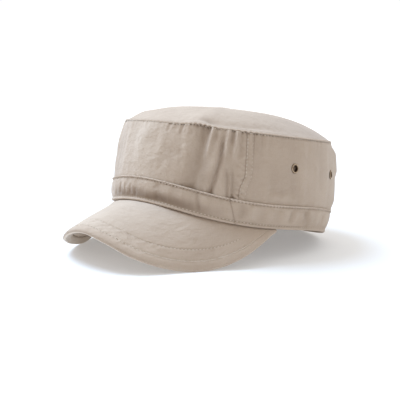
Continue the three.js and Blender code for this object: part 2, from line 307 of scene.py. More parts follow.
@dataclass(frozen=True)
class CrownForm:
    """The three sewn lines and the plain cone of cloth between them."""

    rim: SewnLine = SewnLine(
        100.0, 82.5, 0.0, 1.3, (4.5, -1.3, 2.3, 0.7), (Bend(180.0, 42.0, 0.0, 4.0),)
    )
    band_seam: SewnLine = SewnLine(
        101.9, 85.0, 0.1, 19.5, (4.5, -1.9, 2.8, 0.7), (Bend(-54.0, 18.0, -0.8, 0.0),)
    )
    top_seam: SewnLine = SewnLine(
        98.6, 81.8, -2.6, 72.7, (-6.0, -0.7, 0.7, 0.0),
        (
            Bend(-55.0, 17.0, -3.6, -2.6), Bend(27.0, 6.5, 0.0, 1.4),
            Bend(128.0, 20.0, -4.5, 0.4), Bend(-128.0, 20.0, -3.8, 0.6),
        ),
    )
    front_narrowing: float = 0.044
    squareness: float = 0.009
    wall_belly: float = 1.4
    side_seam_angle: float = 50.8
    side_seam_lean: float = -1.4
    side_seam_foot: float = -2.2
    foot_top: tuple[float, float] = (1.12, 1.38)
    band_joint_angle: float = 47.6
    band_joint_lean: float = -4.9

    @property
    def around(self) -> float:
        """Millimetres of cloth in a radian, on average."""
        return (self.band_seam.half_length + self.band_seam.half_width) / 2

    @property
    def wall_tall(self) -> float:
        """Millimetres from the band's seam to the top seam, on average."""
        return self.top_seam.height - self.band_seam.height

    @property
    def band_tall(self) -> float:
        """Millimetres from the rim to the band's seam, on average."""
        return self.band_seam.height - self.rim.height

    def length(self, angle: Array) -> Array:
        """Millimetres of cloth in angles round the crown, on average."""
        return np.radians(angle) * self.around

    def phase(self, angle: Array, pitch: float) -> Array:
        """The way round the crown in radians of a pitch in millimetres."""
        return 2 * math.pi * (self.length(angle) / pitch)

    def side_seam(self, height: Array) -> Array:
        """The side seam's angle at each height, pulled forwards at its foot."""
        pulled = self.side_seam_foot * (1 - fade(height, *self.foot_top))
        return self.side_seam_angle + self.side_seam_lean * (height - 1.5) + pulled

    def band_joint(self, height: Array) -> Array:
        """The angle of the band's joint at each height."""
        return self.band_joint_angle + self.band_joint_lean * (height - 0.5)

    def on_line(self, line: SewnLine, angle: Array, out: Array | float = 0.0) -> Array:
        """Points of a sewn line.

        Args:
            line: The line.
            angle: Angles round the crown.
            out: Distances out from the line.

        Returns:
            One row of x, y and z for each angle.
        """
        turn = np.radians(angle)
        square = 1 - self.squareness * np.cos(4 * turn)
        narrow = 1 - self.front_narrowing * np.cos(turn)
        rise = sum(wave * np.cos((i + 1) * turn) for i, wave in enumerate(line.waves))
        for bend in line.bends:
            near = bump(signed(angle - bend.angle), bend.width)
            out, rise = out + bend.out * near, rise + bend.rise * near
        x = (line.half_width + out) * np.sin(turn) * narrow * square
        y = line.shift - (line.half_length + out) * np.cos(turn) * square
        return np.stack(np.broadcast_arrays(x, y, line.height + rise), -1)

    def on_crown(self, angle: Array, height: Array, out: Array) -> Array:
        """Points of the crown's side.

        Args:
            angle: Angles round the crown.
            height: Heights from 0 to 2.
            out: Distances out from the plain form.

        Returns:
            One row of x, y and z for each place.
        """
        on_wall = height > 1
        share = np.where(on_wall, height - 1, height)[..., None]
        belly = np.where(on_wall, self.wall_belly * np.sin(math.pi * share[..., 0]), 0.0)
        low, middle, high = (
            self.on_line(line, angle, out + belly) for line in (self.rim, self.band_seam, self.top_seam)
        )
        wall = middle + (high - middle) * share
        band = low + (middle - low) * share
        return np.where(on_wall[..., None], wall, band)


@dataclass(frozen=True)
class RestPose:
    """How the cap lies by itself, on the back of its rim and the two low sides of its peak."""

    tilt: float = 9.25
    shift: float = 22.95
    rise: float = 17.37

    def turn(self, rows: Array) -> Array:
        """Turns directions of the cap as it lies.

        Args:
            rows: Rows of x, y and z in the cap's own frame.

        Returns:
            The rows in the scene's frame.
        """
        lean = math.radians(self.tilt)
        y = rows[..., 1] * math.cos(lean) + rows[..., 2] * math.sin(lean)
        z = -rows[..., 1] * math.sin(lean) + rows[..., 2] * math.cos(lean)
        return np.stack([rows[..., 0], y, z], -1)

    def place(self, rows: Array) -> Array:
        """Points of the cap in metres, where they lie in the scene."""
        return (self.turn(rows) + np.array([0.0, self.shift, self.rise])) * MM

    def grounded(self, rows: Array) -> Array:
        """Placed points, with what would lie under the surface pressed flat on it."""
        placed = self.place(rows)
        placed[..., 2] = np.maximum(placed[..., 2], 0.0)
        return placed


FORM = CrownForm()
POSE = RestPose()


# Modelling helpers


def deselect_all() -> None:
    """Leaves nothing selected and nothing active."""
    bpy.ops.object.select_all(action="DESELECT")
    bpy.context.view_layer.objects.active = None


def select_only(piece: bpy.types.Object) -> None:
    """Makes one piece the only one selected, and the active one.

    Args:
        piece: The piece.
    """
    deselect_all()
    piece.select_set(True)
    bpy.context.view_layer.objects.active = piece


def named(name: str) -> bpy.types.Object:
    """Gives the active object and its mesh a name.

    Args:
        name: The name.

    Returns:
        The object.
    """
    piece = bpy.context.active_object
    piece.name = name
    piece.data.name = name
    return piece


def linked(name: str, data: bpy.types.ID) -> bpy.types.Object:
    """Adds an object to the scene.

    Args:
        name: The object's name.
        data: Its mesh, camera or light.

    Returns:
        The object.
    """
    piece = bpy.data.objects.new(name, data)
    bpy.context.scene.collection.objects.link(piece)
    return piece


@contextmanager
def edit_all() -> Iterator[None]:
    """Opens the active mesh for editing with all of it selected, and closes it afterwards."""
    bpy.ops.object.mode_set(mode="EDIT")
    bpy.ops.mesh.select_all(action="SELECT")
    yield
    bpy.ops.object.mode_set(mode="OBJECT")


def points_of(piece: bpy.types.Object) -> Array:
    """Reads a mesh's points.

    Args:
        piece: The piece.

    Returns:
        One row of x, y and z for each point.
    """
    flat = np.empty(len(piece.data.vertices) * 3, np.float32)
    piece.data.vertices.foreach_get("co", flat)
    return flat.reshape(-1, 3).astype(float)


def move_points(piece: bpy.types.Object, rows: Array) -> None:
    """Moves a mesh's points to new places."""
    piece.data.vertices.foreach_set("co", rows.astype(np.float32).ravel())
    piece.data.update()


def lay_weave(piece: bpy.types.Object, across: Array, up: Array) -> None:
    """Lays the weave's directions on a piece.

    Args:
        piece: The piece.
        across: Millimetres of cloth along it at each point.
        up: Millimetres of cloth up it at each point.
    """
    corners = np.empty(len(piece.data.loops), np.int32)
    piece.data.loops.foreach_get("vertex_index", corners)
    while piece.data.uv_layers:
        piece.data.uv_layers.remove(piece.data.uv_layers[0])
    layer = piece.data.uv_layers.new(name=WEAVE)
    spots = np.stack(np.broadcast_arrays(across, up), -1) * MM
    layer.data.foreach_set("uv", spots[corners].astype(np.float32).ravel())


def lay_tone(piece: bpy.types.Object, tone: Array) -> None:
    """Marks where a piece is paler, above 0, from rubbing and painted light, and darker, below 0, from
    painted shade in folds, ditches and other places.
    """
    marks = piece.data.attributes.new(TONE, "FLOAT", "POINT")
    marks.data.foreach_set("value", np.broadcast_to(tone, len(piece.data.vertices)).astype(np.float32))


def grid_places(piece: bpy.types.Object, columns: int, rows: int) -> tuple[Array, Array, Array]:
    """Finds where each point of a flat grid or slab lies in it.

    Args:
        piece: The grid.
        columns: Faces along it.
        rows: Faces up it.

    Returns:
        The column and the row of each point, and whether it is on the raised face.
    """
    spots = points_of(piece)
    column = np.rint((spots[:, 0] + 1) / 2 * columns).astype(int)
    row = np.rint((spots[:, 1] + 1) / 2 * rows).astype(int)
    return column, row, spots[:, 2] > 0.5


def cloth_grid(name: str, columns: int, rows: int) -> bpy.types.Object:
    """Adds a flat grid for a panel to be shaped from.

    Args:
        name: The piece's name.
        columns: Faces along it.
        rows: Faces up it.

    Returns:
        The grid.
    """
    deselect_all()
    bpy.ops.mesh.primitive_grid_add(x_subdivisions=columns, y_subdivisions=rows, size=2.0)
    return named(name)


def cloth_slab(name: str, columns: int, rows: int) -> bpy.types.Object:
    """Adds a flat closed slab for a panel to be shaped from.

    Args:
        name: The piece's name.
        columns: Faces along it.
        rows: Faces up it.

    Returns:
        The slab.
    """
    piece = cloth_grid(name, columns, rows)
    with edit_all():
        bpy.ops.mesh.extrude_region_move(TRANSFORM_OT_translate={"value": (0.0, 0.0, 1.0)})
        bpy.ops.mesh.select_all(action="SELECT")
        bpy.ops.mesh.normals_make_consistent(inside=False)
    return piece


def shade(piece: bpy.types.Object, sharp_past: float = 55.0) -> None:
    """Shades a piece smooth, with edges sharp past an angle in degrees."""
    select_only(piece)
    bpy.ops.object.shade_smooth_by_angle(angle=math.radians(sharp_past))


def weld(piece: bpy.types.Object) -> None:
    """Merges the points of a piece that lie on each other.

    Args:
        piece: The piece.
    """
    select_only(piece)
    with edit_all():
        bpy.ops.mesh.remove_doubles(threshold=MM * 0.01)


def keep(piece: bpy.types.Object, finish: bpy.types.Material, slot: Slot, *nodes: str) -> None:
    """Gives a piece its finish and its place in the frame.

    Args:
        piece: The piece.
        finish: Its material.
        slot: Not used.
        *nodes: The frame's nodes that it stands for.
    """
    piece.data.materials.clear()
    piece.data.materials.append(finish)
    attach(piece, ROOT)
    if nodes:
        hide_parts(*nodes)
    low, high = (np.array(piece.bound_box)[i] / MM for i in (0, 6))
    faces = len(piece.data.polygons)
    log.info("%s: %d faces, from %s to %s mm", piece.name, faces, low.round(1), high.round(1))


# Finishes


class Nodes:
    """The node tree of a material or a world, with short ways to add and to join its nodes."""

    def __init__(self, owner: bpy.types.Material | bpy.types.World) -> None:
        """Starts from the plain shader of a material or a world.

        Args:
            owner: The material or the world.
        """
        owner.use_nodes = True
        self.tree = owner.node_tree
        self.shader = next(node for node in self.tree.nodes if node.inputs.get("Surface") is None)

    def fill(self, node: bpy.types.Node, inputs: Inputs) -> None:
        """Sets a node's inputs.

        Args:
            node: The node.
            inputs: Values, or other nodes' outputs to join, by the inputs' names or numbers.
        """
        for key, value in inputs.items():
            if isinstance(value, bpy.types.NodeSocket):
                self.tree.links.new(value, node.inputs[key])
            else:
                node.inputs[key].default_value = value

    def add(self, kind: str, inputs: Inputs, output: str | int = 0, **settings: object) -> Socket:
        """Adds a node.

        Args:
            kind: The node's type.
            inputs: Values, or other nodes' outputs to join, by the inputs' names or numbers.
            output: The output to give back.
            **settings: The node's other settings.

        Returns:
            That output.
        """
        node = self.tree.nodes.new(f"ShaderNode{kind}")
        for setting, value in settings.items():
            setattr(node, setting, value)
        self.fill(node, inputs)
        return node.outputs[output]

    def maths(self, operation: str, first: object, second: object) -> Socket:
        """Joins two numbers by an operation."""
        return self.add("Math", {0: first, 1: second}, operation=operation)

    def limited(self, value: object) -> Socket:
        """Keeps a number between 0 and 1."""
        return self.maths("MINIMUM", self.maths("MAXIMUM", value, 0.0), 1.0)

    def mix(self, share: object, first: object, second: object) -> Socket:
        """Mixes two colours by a share of the second."""
        return self.add("Mix", {0: share, 6: first, 7: second}, 2, data_type="RGBA")

    def noise(self, at: object, scale: float, detail: float, roughness: float = 0.5) -> Socket:
        """Adds cloudy noise over a place."""
        values = {"Vector": at, "Scale": scale, "Detail": detail, "Roughness": roughness}
        return self.add("TexNoise", values)

    def stretch(self, at: object, *scale: float) -> Socket:
        """Stretches a place."""
        return self.add("Mapping", {"Vector": at, "Scale": scale})

    def relief(self, height: object, depth: float, **over: object) -> Socket:
        """Raises a relief of a depth in millimetres, over another where Normal is given."""
        return self.add("Bump", {"Height": height, "Distance": depth * MM, "Strength": 1.0, **over})

    def place(self) -> Socket:
        """The place on the piece in its own frame."""
        return self.add("TexCoord", {}, "Object")

    def tone(self) -> Socket:
        """Where the piece is paler from rubbing and painted light, and darker from painted shade."""
        return self.add("Attribute", {}, "Fac", attribute_name=TONE)


def rgba(colour: Colour) -> tuple[float, float, float, float]:
    """A colour with full cover."""
    return (*colour, 1.0)


@dataclass(frozen=True)
class Finish:
    """What every finish has: a name, and its shader's inputs from its nodes."""

    name: str

    def material(self) -> bpy.types.Material:
        """The finish as a material.

        Returns:
            The material.
        """
        material = bpy.data.materials.new(self.name)
        nodes = Nodes(material)
        nodes.fill(nodes.shader, self.inputs(nodes))
        return material

    def inputs(self, nodes: Nodes) -> Inputs:
        """The shader's inputs, which each finish has of its own."""
        raise NotImplementedError


@dataclass(frozen=True)
class TwillFinish(Finish):
    """Washed cotton twill: diagonal ribs of yarn, cloudy fading, rubbed seams, painted light, and
    painted shade in its ditches and folds.
    """

    dark: Colour
    light: Colour
    # The paler colour of rubbed places, also used for painted light, and the colour of painted shade
    rubbed: Colour
    ditch: Colour
    rib_pitch: float = 0.75
    rib_depth: float = 0.05
    rumple_depth: float = 1.04

    def inputs(self, nodes: Nodes) -> Inputs:
        """The shader's inputs.

        Args:
            nodes: The material's nodes.

        Returns:
            Values and outputs by the inputs' names.
        """
        at = nodes.stretch(nodes.add("UVMap", {}, uv_map=WEAVE), 1 / MM, 1 / MM, 1 / MM)
        tone = nodes.tone()
        cloud = nodes.noise(at, 0.035, 4.0, 0.55)
        slub = nodes.noise(nodes.stretch(at, 1.9, 0.16, 1.0), 1.0, 2.0)
        pick = nodes.noise(nodes.stretch(at, 0.14, 1.7, 1.0), 1.0, 2.0)
        fleck = nodes.noise(at, 1.3, 3.0, 0.65)
        threads = nodes.maths("ADD", slub, pick)
        specks = nodes.maths("MULTIPLY", fleck, 0.9)
        uneven = nodes.maths("ADD", nodes.maths("MULTIPLY", cloud, 1.5), specks)
        uneven = nodes.maths("ADD", uneven, nodes.maths("MULTIPLY", threads, 0.5))
        uneven = nodes.maths("SUBTRACT", uneven, 1.2)
        # Painted light and rubbed places mix in the paler colour; painted shade mixes in the darker one
        rub = nodes.maths("MULTIPLY", tone, nodes.maths("ADD", fleck, 0.5))
        sunk = nodes.maths("MULTIPLY", tone, -1.0)
        cloth = nodes.mix(uneven, rgba(self.dark), rgba(self.light))
        cloth = nodes.mix(nodes.limited(rub), cloth, rgba(self.rubbed))
        cloth = nodes.mix(nodes.limited(sunk), cloth, rgba(self.ditch))
        # A band wave repeats each fifth of pi over its scale
        scale = math.pi / 5 / (self.rib_pitch * math.sqrt(2))
        wave = {"Vector": at, "Scale": scale, "Distortion": 0.6, "Detail": 1.0, "Detail Scale": 2.0}
        ribs = nodes.add("TexWave", wave, bands_direction="DIAGONAL")
        yarn = nodes.maths("ADD", ribs, nodes.maths("MULTIPLY", threads, 0.8))
        rumpled = nodes.relief(nodes.noise(at, 0.17, 4.0, 0.6), self.rumple_depth)
        return {
            "Base Color": cloth,
            "Roughness": nodes.maths("ADD", nodes.maths("MULTIPLY", fleck, 0.12), 0.84),
            "Normal": nodes.relief(yarn, self.rib_depth, Normal=rumpled),
            "Specular IOR Level": 0.22,
            "Sheen Weight": 0.22,
            "Sheen Roughness": 0.55,
        }


@dataclass(frozen=True)
class ThreadFinish(Finish):
    """Sewing thread a little paler than the cloth, twisted along each stitch."""

    dark: Colour
    light: Colour

    def inputs(self, nodes: Nodes) -> Inputs:
        """The shader's inputs.

        Args:
            nodes: The material's nodes.

        Returns:
            Values and outputs by the inputs' names.
        """
        at = nodes.place()
        twist = nodes.noise(at, 2600.0, 1.0)
        return {
            "Base Color": nodes.mix(nodes.noise(at, 260.0, 2.0), rgba(self.dark), rgba(self.light)),
            "Roughness": nodes.maths("ADD", nodes.maths("MULTIPLY", twist, 0.15), 0.6),
            "Normal": nodes.relief(twist, 0.05),
            "Specular IOR Level": 0.35,
            "Sheen Weight": 0.15,
        }


@dataclass(frozen=True)
class BrassFinish(Finish):
    """Antique brass: brown patina with bare metal where it is rubbed."""

    patina: Colour
    metal: Colour

    def inputs(self, nodes: Nodes) -> Inputs:
        """The shader's inputs.

        Args:
            nodes: The material's nodes.

        Returns:
            Values and outputs by the inputs' names.
        """
        blotch = nodes.noise(nodes.place(), 900.0, 3.0, 0.6)
        rub = nodes.maths("MULTIPLY", nodes.tone(), nodes.maths("ADD", blotch, 0.35))
        return {
            "Base Color": nodes.mix(rub, rgba(self.patina), rgba(self.metal)),
            "Metallic": 0.85,
            "Roughness": nodes.maths("SUBTRACT", 0.62, nodes.maths("MULTIPLY", rub, 0.3)),
            "Normal": nodes.relief(blotch, 0.04),
        }


@dataclass(frozen=True)
class FloorFinish(Finish):
    """A pale floor that glows dimly near the cap and brighter away from it, so that it meets the
    surroundings; the glow is painted light, and lightens the cap's shadow on it.
    """

    colour: Colour = (0.66, 0.66, 0.66)
    glow: tuple[float, float] = (0.27, 0.62)
    glow_from: tuple[float, float] = (0.45, 2.6)

    def inputs(self, nodes: Nodes) -> Inputs:
        """The shader's inputs.

        Args:
            nodes: The material's nodes.

        Returns:
            Values and outputs by the inputs' names.
        """
        away = nodes.add("VectorMath", {0: nodes.place()}, "Value", operation="LENGTH")
        spans = dict(zip(("From Min", "From Max", "To Min", "To Max"), (*self.glow_from, *self.glow)))
        glow = nodes.add("MapRange", {"Value": away, **spans}, interpolation_type="SMOOTHSTEP")
        return {
            "Base Color": rgba(self.colour),
            "Roughness": 0.85,
            "Specular IOR Level": 0.1,
            "Emission Color": rgba((1.0, 1.0, 1.0)),
            "Emission Strength": glow,
        }


# How the cloth of the crown lies


def folded(folds: Sequence[Crease], turn: Array, height: Array, tall: float) -> Array:
    """How far all folds of a panel together move its cloth out, in millimetres."""
    return sum(fold.at(turn, height, FORM.around, tall) for fold in folds)


@dataclass(frozen=True)
class WallCloth:
    """The crown's wall: its folds, its gathers under the top seam and the strips of its side seams."""

    thickness: float = 1.6
    strip_width: float = 5.2
    strip_raise: float = 0.14
    strip_slope: float = 1.6
    stitch_sink: float = 0.22
    # The stitches of a side seam run this far behind it, and this far in from the strip's other edge
    seam_row: float = 0.6
    strip_row: float = 0.3
    seam_ditch: float = 1.1
    folds: tuple[Crease, ...] = (
        Crease(((-8.0, 1.9), (3.0, 1.62), (12.0, 1.3)), 17.0, 0.9),
        Crease(((-0.1, 1.83), (8.0, 1.55), (15.7, 1.29)), 9.0, -1.2),
        Crease(((-26.0, 1.75), (-22.0, 1.25)), 9.0, -0.5),
        Crease(((22.5, 2.0), (24.5, 1.6), (23.0, 1.2)), 6.5, 0.5),
        Crease(((31.7, 2.0), (31.0, 1.7), (29.8, 1.35), (27.5, 1.0)), 3.0, -1.5),
        Crease(((30.6, 2.0), (29.4, 1.5), (27.0, 1.0)), 9.0, -2.1),
        Crease(((34.7, 2.0), (33.7, 1.88), (33.2, 1.66), (31.9, 1.4)), 2.2, 2.8, 1.7, 0.55),
        Crease(((36.6, 1.9), (36.0, 1.6), (35.0, 1.2)), 3.6, 0.9),
        Crease(((40.1, 1.97), (39.5, 1.74), (39.0, 1.5), (37.9, 1.26), (36.4, 1.0)), 1.9, -2.7, 1.5),
        Crease(((37.9, 2.0), (37.6, 1.6), (37.0, 1.25)), 2.4, 0.7),
        Crease(((41.7, 2.0), (41.2, 1.77), (41.0, 1.55)), 1.9, 2.0),
        Crease(((43.4, 2.0), (43.7, 1.9), (43.6, 1.76)), 1.7, -1.3),
        Crease(((45.7, 2.0), (45.4, 1.73), (45.0, 1.52)), 1.9, 2.0),
        Crease(((42.4, 1.45), (43.3, 1.25), (44.2, 1.0)), 1.5, -1.7, 1.6),
        Crease(((45.0, 1.46), (45.6, 1.25), (46.4, 1.0)), 1.5, -1.7, 1.6),
        Crease(((43.8, 1.4), (44.6, 1.2), (45.3, 1.0)), 1.6, 0.5),
        Crease(((40.6, 1.5), (41.3, 1.2), (42.0, 1.0)), 3.0, 0.7),
        Crease(((47.8, 2.0), (48.0, 1.6)), 1.8, -0.7),
        Crease(((10.0, 1.64), (13.5, 1.56), (17.0, 1.45)), 1.6, -0.4),
        Crease(((6.0, 1.52), (12.0, 1.46), (17.5, 1.4)), 1.5, 0.25),
        Crease(((10.0, 1.38), (5.5, 1.33), (0.5, 1.3)), 1.7, 0.22),
        Crease(((11.5, 1.36), (15.0, 1.27), (19.0, 1.2)), 1.7, 0.25),
        Crease(((11.5, 1.28), (9.0, 1.18), (7.5, 1.08)), 1.6, -0.25),
        Crease(((21.0, 1.68), (22.5, 1.58), (23.8, 1.45)), 1.8, 0.55),
        Crease(((22.0, 1.4), (22.8, 1.3), (22.0, 1.16)), 1.9, 0.5),
        Crease(((19.5, 1.6), (20.2, 1.46)), 1.5, -0.5),
        Crease(((-30.0, 1.9), (-31.5, 1.5), (-31.0, 1.2)), 2.6, -0.6),
        Crease(((11.9, 2.0), (11.4, 1.83)), 1.6, -0.55),
        Crease(((16.0, 2.0), (15.6, 1.86)), 1.8, -0.35),
        Crease(((19.2, 2.0), (18.7, 1.8)), 1.5, -0.6),
        Crease(((21.6, 2.0), (20.9, 1.82)), 1.4, -0.55),
        Crease(((25.2, 2.0), (24.4, 1.8)), 1.6, -0.6),
        Crease(((20.4, 2.0), (19.8, 1.84)), 1.2, 0.35),
        Crease(((23.4, 2.0), (22.6, 1.82)), 1.6, 0.4),
        Crease(((54.7, 2.0), (54.9, 1.8), (55.2, 1.66)), 1.6, -0.6),
        Crease(((57.2, 2.0), (57.4, 1.8), (57.9, 1.6)), 2.0, -0.5),
        Crease(((61.2, 2.0), (61.5, 1.8), (61.9, 1.6)), 2.6, -0.5),
        Crease(((59.3, 2.0), (59.5, 1.75)), 1.8, 0.35),
        Crease(((61.4, 1.23), (68.0, 1.19), (74.4, 1.19)), 3.6, -0.9),
        Crease(((63.0, 1.14), (70.0, 1.11), (77.0, 1.12)), 3.0, 0.7),
        Crease(((-61.5, 2.0), (-61.5, 1.55)), 4.0, -0.6),
        Crease(((128.0, 1.985), (128.0, 1.04)), 16.0, 2.6, 2.0, 0.17),
        Crease(((-128.0, 1.97), (-128.0, 1.04)), 16.0, 2.4, 2.0, 0.35),
        Crease(((127.0, 1.99), (128.0, 1.8), (128.0, 1.5)), 16.0, 1.7, 2.0, 0.25),
        Crease(((-34.0, 2.0), (-33.0, 1.3)), 5.0, -1.0),
        Crease(((-40.0, 2.0), (-39.0, 1.25)), 3.0, -1.2),
        Crease(((-36.8, 2.0), (-36.0, 1.4)), 2.6, 0.8),
        Crease(((-44.0, 2.0), (-43.5, 1.6)), 2.2, -0.8),
    )
    gathers: Ripple = Ripple(11, (78, 124), 0.35, 18)
    hang: Ripple = Ripple(12, (9, 34), 0.45)
    slack: Ripple = Ripple(13, (30, 70), 0.9)
    crumple: Ripple = Ripple(14, (40, 130), 15.0, 26)
    dash: float = 2.7
    # Painted light and shade on the wall, by angle: paler and darker patches that set how bright each
    # side looks under the lamps
    lit_and_shaded_patches: tuple[Mark, ...] = (
        Mark(-36.0, 12.0, -0.12), Mark(-3.0, 9.0, 0.24), Mark(34.0, 13.0, -0.08),
        Mark(66.0, 16.0, -0.05), Mark(102.0, 14.0, 0.16),
    )
    gather_strength: Table = (
        (-180, 0.12), (-60, 0.14), (-46, 0.3), (-30, 0.22), (-10, 0.1), (8, 0.12), (14, 0.24), (26, 0.3),
        (30, 0.42), (48, 0.42), (56, 0.2), (66, 0.07), (110, 0.05), (180, 0.12),
    )

    def from_seams(self, height: Array) -> tuple[Array, Array]:
        """Millimetres below the top seam, and above the band's seam."""
        return (2.0 - height) * FORM.wall_tall, (height - 1.0) * FORM.wall_tall

    def past_seam(self, turn: Array, height: Array) -> Array:
        """Millimetres behind the side seam of the same side."""
        return FORM.length(np.abs(turn) - FORM.side_seam(height))

    def dashed(self, turn: Array) -> Array:
        """How deep the cloth is drawn in by each stitch along the top seam, from 0 to 1."""
        return 0.5 + 0.5 * np.cos(FORM.phase(turn, self.dash))

    def out(self, angle: Array, height: Array) -> Array:
        """How far the outer face lies from the plain form.

        Args:
            angle: Angles round the crown.
            height: Heights from 1 to 2.

        Returns:
            Millimetres outwards.
        """
        turn = signed(angle)
        under, over = self.from_seams(height)
        out = folded(self.folds, turn, height, FORM.wall_tall)
        gathered = straight_table(self.gather_strength, turn) * self.gathers.at(turn, height)
        out = out + gathered * (bump(under, 7.0, 1.3) + 0.35 * bump(over, 5.0, 1.3))
        middle = fade(over, 0.0, 14.0) * fade(under, 0.0, 14.0)
        out = out + 0.22 * self.hang.at(turn, height) * (0.3 + 0.7 * middle)
        out = out + 0.07 * self.slack.at(turn, height)
        out = out - (0.3 + 0.45 * self.dashed(turn)) * bump(under, self.seam_ditch)
        return out + self.strip(turn, height)

    def strip(self, turn: Array, height: Array) -> Array:
        """The felled strip behind each side seam, with a ditch at the seam and under its stitches.

        Args:
            turn: Angles from -180 to 180 degrees.
            height: Heights from 1 to 2.

        Returns:
            Millimetres outwards.
        """
        past = self.past_seam(turn, height)
        width = self.strip_width
        raised = self.strip_raise * window(past, -0.15, 0.5, width, width + self.strip_slope)
        rows = bump(past - self.seam_row, 0.5) + bump(past - width + self.strip_row, 0.6)
        crumpled = (0.13 + 0.16 * (1 - fade(height, 1.4, 1.6))) * self.crumple.at(turn, height)
        crumpled = crumpled * bump(past + 0.4, 6.0, 4.0)
        return raised + crumpled - self.stitch_sink * rows - 0.25 * bump(past + 0.1, 0.4)

    def tone(self, angle: Array, height: Array, out: Array) -> Array:
        """Where the wall is paler and darker: painted light on its folds' ridges, painted shade in its
        folds and its seams' ditches.

        Args:
            angle: Angles round the crown.
            height: Heights on the crown.
            out: How far the outer face lies from the plain form.

        Returns:
            Above 0 for lighter places, below 0 for darker ones.
        """
        turn = signed(angle)
        under, over = self.from_seams(height)
        past = self.past_seam(turn, height)
        uneven = 1 + 0.35 * uneven_stitches(FORM.phase(turn, self.dash))
        dash = (0.25 + 0.85 * self.dashed(turn)) * uneven
        # Painted shade in the seams' ditches: under the top seam at each stitch, along the band's seam
        # and at the side seams
        ditch = dash * bump(under, self.seam_ditch) + 0.1 * bump(over, 0.8)
        ditch = ditch + 0.4 * bump(past + 0.1, 0.45)
        edge = bump(past - self.strip_width - self.strip_row, 0.55)
        ditch = ditch + (0.12 + 0.3 * fade(height, 1.55, 1.8)) * edge
        # Painted light and shade by angle
        lit_and_shaded_patches = sum(patch.at(turn) for patch in self.lit_and_shaded_patches)
        # Painted light on the folds' ridges and painted shade in their valleys
        return 0.12 * np.clip(out, -1.5, 1.5) + lit_and_shaded_patches - ditch


